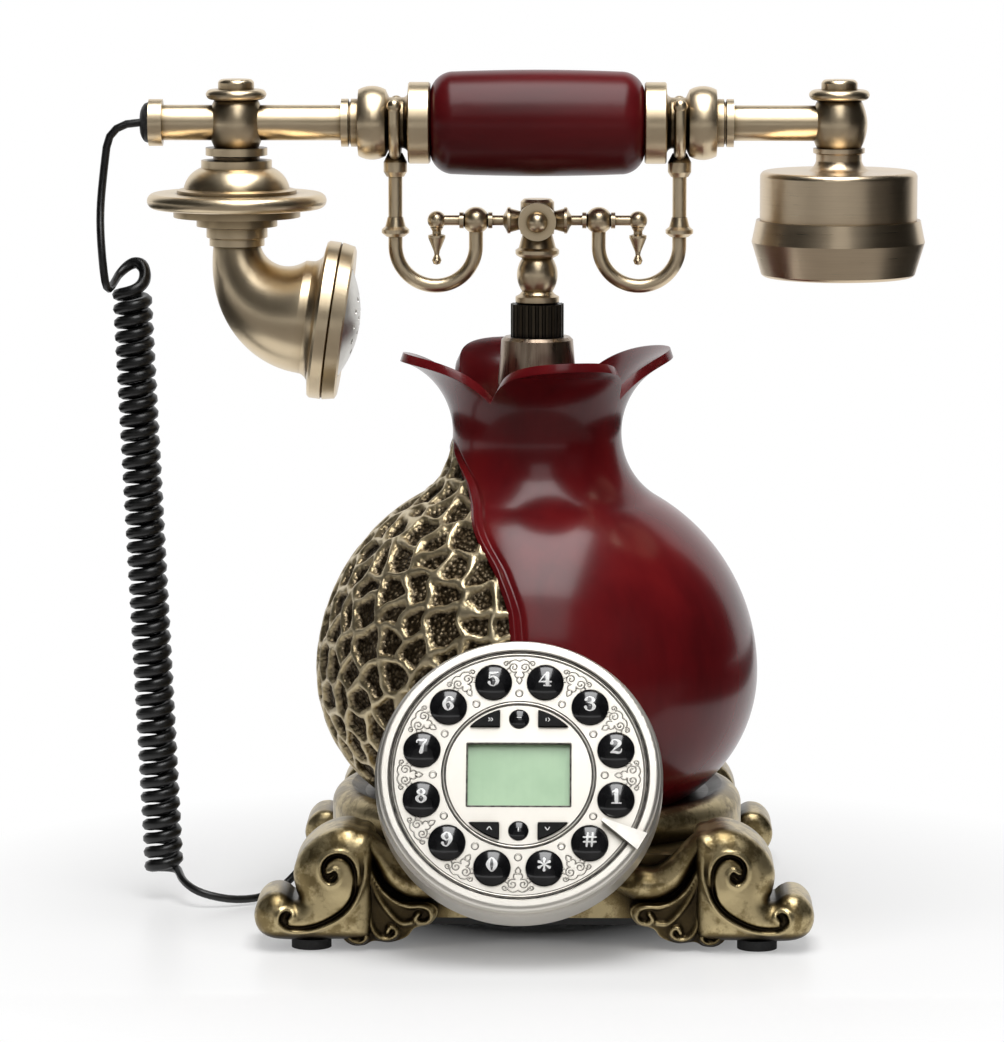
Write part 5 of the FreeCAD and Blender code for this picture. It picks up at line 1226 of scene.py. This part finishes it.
carved = [
    carving("scroll", SCROLL, scroll_height, SCROLL_SWELL, -80.0, -62.0, step=0.55),
    carving("wing", WING, wing_height, WING_SWELL, -78.5, -72.5, round_back=False),
    carving("leaf_fan", FAN, fan_height, FAN_SWELL, -80.6, -72.5, step=0.6, round_back=False),
]
print("triangles in a foot", [len(mesh.polygons) for mesh in carved])


# %% Four feet
def mirrored(mesh, across, along, shift):
    """A copy of a mesh turned over in x or y about the body axis, and moved in x."""
    copy = mesh.copy()
    turn = Matrix.Translation((shift * MM, 0, 0))
    if along:
        turn = Matrix.Translation((0, 2 * AXIS_Y * MM, 0)) @ Matrix.Scale(-1, 4, (0, 1, 0)) @ turn
    if across:
        turn = Matrix.Scale(-1, 4, (1, 0, 0)) @ turn
    copy.transform(turn)
    if across != along:
        copy.flip_normals()
    return copy


FRONT_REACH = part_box("feet_front")[1][0]
REAR_SHIFT = (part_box("feet_rear")[1][0] - FRONT_REACH) / MM
for end, shift in (("front", 0.0), ("rear", REAR_SHIFT)):
    for side in ("right", "left"):
        for mesh in carved:
            copy = mirrored(mesh, side == "left", end == "rear", shift)
            piece = add_piece(f"{mesh.name}_{end}_{side}", copy, GOLD)
            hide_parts(f"feet_{end}")
print("rear feet shifted by", round(REAR_SHIFT, 2), "mm")

# %% [markdown]
# ## The dial's figures and engraving
# The keys carry plain white figures, drawn with a broad brush: thick on the uprights and thin on the turns,
# with a ball where a stroke ends. Each stroke is a line whose points also hold a width, so it becomes a
# ribbon, and its points are lifted onto the key's dome. The small keys carry plain signs.


# %% Brush strokes
def stroke(points, closed=False):
    """Corners and faces of a flat ribbon along points of x, y and width, with round ends."""
    line = flowing(points, closed, gap=0.07)
    if closed:
        line = np.concatenate((line, line[:1]))
    along = np.gradient(line[:, :2], axis=0)
    if closed:
        along[0] = along[-1] = line[1, :2] - line[-2, :2]
    side = np.stack((-along[:, 1], along[:, 0]), axis=1) / np.linalg.norm(along, axis=1)[:, None]
    half = line[:, 2:] / 2
    count = len(line)
    verts = np.concatenate((line[:, :2] + side * half, line[:, :2], line[:, :2] - side * half))
    firsts = [i + k for i in range(count - 1) for k in (0, count)]
    faces = [(i, i + count, i + count + 1, i + 1) for i in firsts]
    sides = 14
    for end in () if closed else (0, -1):
        ring = [(math.cos(a), math.sin(a)) for a in np.linspace(0, 2 * math.pi, sides, endpoint=False)]
        faces.append(tuple(range(len(verts), len(verts) + sides)))
        verts = np.concatenate((verts, line[end, :2] + np.array(ring) * half[end]))
    return verts, faces


SIX = [
    (0.26, 0.27, 0.19), (0.14, 0.44, 0.1), (-0.06, 0.42, 0.1), (-0.26, 0.0, 0.24), (-0.17, -0.34, 0.18),
    (0.02, -0.46, 0.09), (0.25, -0.2, 0.23), (0.04, 0.07, 0.09), (-0.2, -0.06, 0.07),
]
FIGURES = {
    "key_1": [
        [(0.03, 0.42, 0.24), (0.03, -0.4, 0.24)],
        [(-0.22, 0.3, 0.1), (-0.1, 0.36, 0.13), (0.03, 0.46, 0.12)],
        [(-0.26, -0.46, 0.09), (0.32, -0.46, 0.09)],
    ],
    "key_2": [
        [(-0.27, 0.22, 0.22), (-0.22, 0.42, 0.1), (0.02, 0.46, 0.1), (0.23, 0.28, 0.24),
         (0.16, 0.06, 0.2), (-0.12, -0.2, 0.11), (-0.32, -0.42, 0.07)],
        [(-0.32, -0.4, 0.12), (-0.1, -0.38, 0.17), (0.14, -0.43, 0.16), (0.31, -0.36, 0.1),
         (0.36, -0.16, 0.05)],
    ],
    "key_3": [
        [(-0.27, 0.26, 0.2), (-0.18, 0.43, 0.1), (0.04, 0.46, 0.09), (0.22, 0.27, 0.22),
         (0.1, 0.08, 0.12), (-0.08, 0.03, 0.07)],
        [(-0.06, 0.03, 0.07), (0.14, -0.01, 0.12), (0.27, -0.22, 0.24), (0.06, -0.46, 0.09),
         (-0.2, -0.42, 0.1), (-0.29, -0.24, 0.2)],
    ],
    "key_4": [
        [(0.1, 0.46, 0.08), (-0.12, 0.16, 0.08), (-0.36, -0.18, 0.08)],
        [(-0.37, -0.2, 0.1), (0.38, -0.2, 0.1)],
        [(0.14, 0.4, 0.24), (0.14, -0.4, 0.24)],
        [(-0.08, -0.46, 0.09), (0.36, -0.46, 0.09)],
    ],
    "key_5": [
        [(-0.22, 0.42, 0.14), (0, 0.4, 0.17), (0.28, 0.45, 0.1)],
        [(-0.23, 0.44, 0.08), (-0.25, 0.2, 0.08), (-0.26, 0.03, 0.08)],
        [(-0.24, 0.06, 0.08), (0.02, 0.15, 0.11), (0.26, -0.14, 0.25), (0.06, -0.46, 0.09),
         (-0.18, -0.43, 0.1), (-0.28, -0.27, 0.2)],
    ],
    "key_6": [SIX],
    "key_7": [
        [(-0.32, 0.22, 0.06), (-0.3, 0.4, 0.12), (0.0, 0.39, 0.19), (0.32, 0.45, 0.08)],
        [(0.31, 0.43, 0.08), (0.08, 0.04, 0.16), (-0.04, -0.4, 0.27)],
    ],
    "key_8": [
        [(0, 0.46, 0.09), (0.21, 0.26, 0.17), (0, 0.05, 0.1), (-0.21, 0.26, 0.17)],
        [(0, 0.05, 0.1), (0.27, -0.2, 0.22), (0, -0.46, 0.09), (-0.27, -0.2, 0.22)],
    ],
    "key_9": [[(-x, -y, w) for x, y, w in SIX]],
    "key_0": [[(0, 0.46, 0.08), (0.24, 0, 0.27), (0, -0.46, 0.08), (-0.24, 0, 0.27)]],
    "key_star": [
        [(r * math.sin(a), r * math.cos(a), w) for r, w in ((0, 0.1), (0.2, 0.1), (0.38, 0.2))]
        for a in np.radians(range(0, 360, 60))
    ],
    "key_hash": [[(x - 0.04, -0.44, 0.13), (x + 0.04, 0.44, 0.13)] for x in (-0.16, 0.16)]
    + [[(-0.38, y, 0.12), (0.38, y, 0.12)] for y in (-0.16, 0.16)],
}
LOOPS = ("key_8", "key_0")
FIGURE_TALL, FIGURE_UP = 5.0, 0.5
KEY_CIRCLE = 32.3
KEY_R = 5.85
KEY_RISE = 1.9
DOME_R = KEY_R**2 / KEY_RISE / 2 + KEY_RISE / 2
RING_ORDER = ("2", "3", "4", "5", "6", "7", "8", "9", "0", "star", "hash", "1")
print("figures", len(FIGURES))


# %% Figures on the keys
PAINT_LOW, PAINT_HIGH = (0.62, 0.62, 0.60), (0.85, 0.85, 0.84)
WHITE = finish("white_paint", speckled(500, 4, PAINT_LOW, PAINT_HIGH, 0.25, 0.2, COAT, stops=(0.3, 0.6)))
PAINT_LIFT = 0.05


def join(name, parts):
    """One mesh from several lists of corners and faces."""
    verts, faces = [], []
    for corners, quads in parts:
        faces += [tuple(i + len(verts) for i in quad) for quad in quads]
        verts += list(corners)
    return mesh_from(name, verts, faces)


def sign_mesh(name, strokes, closed, spot):
    """Strokes as one mesh, with each corner put in its place by a function."""
    ribbons = [stroke(points, closed) for points in strokes]
    return join(name, [([spot(x, y) for x, y in corners], faces) for corners, faces in ribbons])


for index, sign in enumerate(RING_ORDER):
    key = f"key_{sign}"
    angle = math.radians(15 + 30 * index)
    centre = (KEY_CIRCLE * math.cos(angle), KEY_CIRCLE * math.sin(angle))

    def on_dome(x, y):
        x, y = x * FIGURE_TALL, y * FIGURE_TALL + FIGURE_UP
        lift = math.sqrt(DOME_R**2 - x * x - y * y) - DOME_R + KEY_RISE + PAINT_LIFT
        return on_dial(centre[0] + x, centre[1] + y, lift)

    mesh = sign_mesh(f"figure_{sign}", FIGURES[key], key in LOOPS, on_dome)
    figure = add_piece(f"figure_{sign}", mesh, WHITE, f"{key}_cap")

# %% Signs on the small keys
SMALL_X, SMALL_Y = 9.3, 18.3
SIGNS = {
    "key_redial": (
        (-SMALL_X, SMALL_Y),
        [[(x, 0.5, 0.3), (x + 0.5, 0, 0.3), (x, -0.5, 0.3)] for x in (-0.5, 0.3)],
    ),
    "key_set": ((0, 18.9), [[(-0.6, 0, 0.34), (0.6, 0, 0.34)]]),
    "key_speaker": (
        (SMALL_X, SMALL_Y),
        [
            [(-0.6, -0.4, 0.3), (-0.6, 0.4, 0.3)],
            [(0.1, -0.6, 0.26), (0.5, 0, 0.26), (0.1, 0.6, 0.26)],
        ],
    ),
    "key_up": ((-SMALL_X, -SMALL_Y), [[(-0.7, -0.4, 0.3), (0, 0.5, 0.3), (0.7, -0.4, 0.3)]]),
    "key_out": ((0, -18.7), [[(0, -0.6, 0.34), (0, 0.6, 0.34)]]),
    "key_down": ((SMALL_X, -SMALL_Y), [[(-0.7, 0.4, 0.3), (0, -0.5, 0.3), (0.7, 0.4, 0.3)]]),
}
FLAT_TOP, ROUND_TOP = 0.4, 0.62
for key, ((x0, y0), strokes) in SIGNS.items():
    top = (FLAT_TOP if x0 else ROUND_TOP) + PAINT_LIFT
    mesh = sign_mesh(f"sign_{key}", strokes, False, lambda x, y: on_dial(x0 + x, y0 + y, top))
    add_piece(f"sign_{key}", mesh, WHITE, f"{key}_cap")
print("signs", len(SIGNS))

# %% [markdown]
# The face plate is engraved with a scroll between every two keys, a small ring inside each scroll and a
# double line around the panel. Fine wires half sunk into the plate stand for them: pale ones for what is
# raised, and dark ones under and beside them, both for the engraved lines, which on such plates are filled
# with dark wax, and for painted shade around the raised lines. A dark line around the display pane is
# painted shadow of its recess.

# %% Engraving
FACE_TOP = -0.8


def wire(line, radius, sides=6):
    """Corners and faces of a thin tube along points on the dial, given across, up and out in mm."""
    path = [on_dial(*p) / MM for p in line]
    closed = (path[0] - path[-1]).length < 1e-6
    verts, faces = [], []
    for i, spot in enumerate(path):
        before = path[i - 1] if i else path[-2] if closed else path[0]
        after = path[i + 1] if i + 1 < len(path) else path[1] if closed else path[-1]
        side = (after - before).normalized().cross(DIAL_OUT)
        for k in range(sides):
            a = 2 * math.pi * k / sides
            verts.append((spot + (side * math.cos(a) + DIAL_OUT * math.sin(a)) * radius) * MM)
    for i in range(len(path) - 1):
        for k in range(sides):
            a, b = i * sides + k, i * sides + (k + 1) % sides
            faces.append((a, b, b + sides, a + sides))
    return verts, faces


def circle(x, y, radius, out, count):
    """A closed ring of points on the dial."""
    turns = np.linspace(0, 2 * math.pi, count + 1)
    return [(x + radius * math.cos(a), y + radius * math.sin(a), out) for a in turns]


def spiral(x, y, start, end, turn, sweep):
    """A flat curl: its radius runs from start to end while it turns."""
    t = np.linspace(0, 1, 18)
    r = start + (end - start) * t
    a = np.radians(turn + sweep * t)
    return list(zip(x + r * np.cos(a), y + r * np.sin(a)))


HALF_SCROLL = [
    spiral(1.75, 0.3, 1.7, 0.35, 250, 520),
    spiral(4.1, 1.7, 1.0, 0.25, 190, -430),
    [(0.9, -1.2), (1.6, -2.2), (1.1, -3.2), (0.2, -3.0)],
    [(0.3, -3.1), (1.0, -4.0), (0.5, -4.9), (0, -5.4)],
    [(3.4, 0.2), (4.3, -0.6), (3.9, -1.6), (2.9, -1.5)],
    [(0, 2.3), (1.2, 2.9), (2.6, 2.5), (3.4, 1.7)],
]
SILVER_LOW, SILVER_HIGH = (0.50, 0.47, 0.42), (0.70, 0.67, 0.61)
FILL_AND_SHADE_LOW, FILL_AND_SHADE_HIGH = (0.030, 0.027, 0.023), (0.20, 0.185, 0.16)
FILL_AND_SHADE_SETTINGS = {"Metallic": 0.3}
WIRE = finish("silver_wire", speckled(300, 3, SILVER_LOW, SILVER_HIGH, 0.25, 0.15, {"Metallic": 0.85}))
# The dark wires: engraved lines filled dark, and painted shade around the raised wires and the display's
# recess.
DARK = finish("dark_fill_and_shade", speckled(420, 3, FILL_AND_SHADE_LOW, FILL_AND_SHADE_HIGH, 0.4, 0.2, FILL_AND_SHADE_SETTINGS, stops=(0.35, 0.65)))
wires, fills_and_shade = [], []
STOP_PLACE = 11
RING_CIRCLE = 27.6
RING_R, RING_SHADE_R = 1.0, 1.22
RING_LIFT, WIRE_LIFT = 0.04, 0.16
SCROLL_CIRCLE, SCROLL_BEND = 36.2, 36.6
for index in range(12):
    middle = math.radians(30 * index)
    x, y = RING_CIRCLE * math.cos(middle), RING_CIRCLE * math.sin(middle)
    wires.append(wire(circle(x, y, RING_R, FACE_TOP + RING_LIFT, 20), 0.2))
    # A dark ring just outside each raised ring: painted shade around it.
    fills_and_shade.append(wire(circle(x, y, RING_SHADE_R, FACE_TOP, 20), 0.1))
    if index == STOP_PLACE:
        continue

    def around(x, y):
        """A place in a scroll: x along the rim, y towards it."""
        r = SCROLL_CIRCLE + y
        a = middle - x / SCROLL_BEND
        return r * math.cos(a), r * math.sin(a)

    for line in HALF_SCROLL:
        for side in (1, -1):
            smooth = flowing([(x * side, y) for x, y in line], gap=0.28)
            # A wider dark wire under each pale one: the engraved line, and painted shade beside the raised
            # wire.
            fills_and_shade.append(wire([(*around(x, y), FACE_TOP) for x, y in smooth], 0.21, 5))
            wires.append(wire([(*around(x, y), FACE_TOP + WIRE_LIFT) for x, y in smooth], 0.12, 5))
for radius, thick in ((24.2, 0.42), (40.7, 0.34)):
    wires.append(wire(circle(0, 0, radius, FACE_TOP, 120), thick))
# Dark lines beside the raised circles: engraved lines and painted shade.
for radius, thick in ((24.8, 0.2), (23.6, 0.2), (41.35, 0.3), (40.2, 0.12)):
    fills_and_shade.append(wire(circle(0, 0, radius, FACE_TOP, 120), thick))
# Dark lines around the display pane: painted shadow of the pane's recess.
PANE_X, PANE_Y = 16.7, 10.6
pane = [(PANE_X, PANE_Y), (-PANE_X, PANE_Y), (-PANE_X, -PANE_Y), (PANE_X, -PANE_Y)]
for (x0, y0), (x1, y1) in zip(pane, pane[1:] + pane[:1]):
    fills_and_shade.append(wire([(x0, y0, FACE_TOP - 0.1), (x1, y1, FACE_TOP - 0.1)], 0.32))
engraving = add_piece("dial_rings", join("dial_rings", wires), WIRE)
filling_and_shade = add_piece("dial_engraving", join("dial_engraving", fills_and_shade), DARK)
print("engraving faces", len(engraving.data.polygons), len(filling_and_shade.data.polygons))
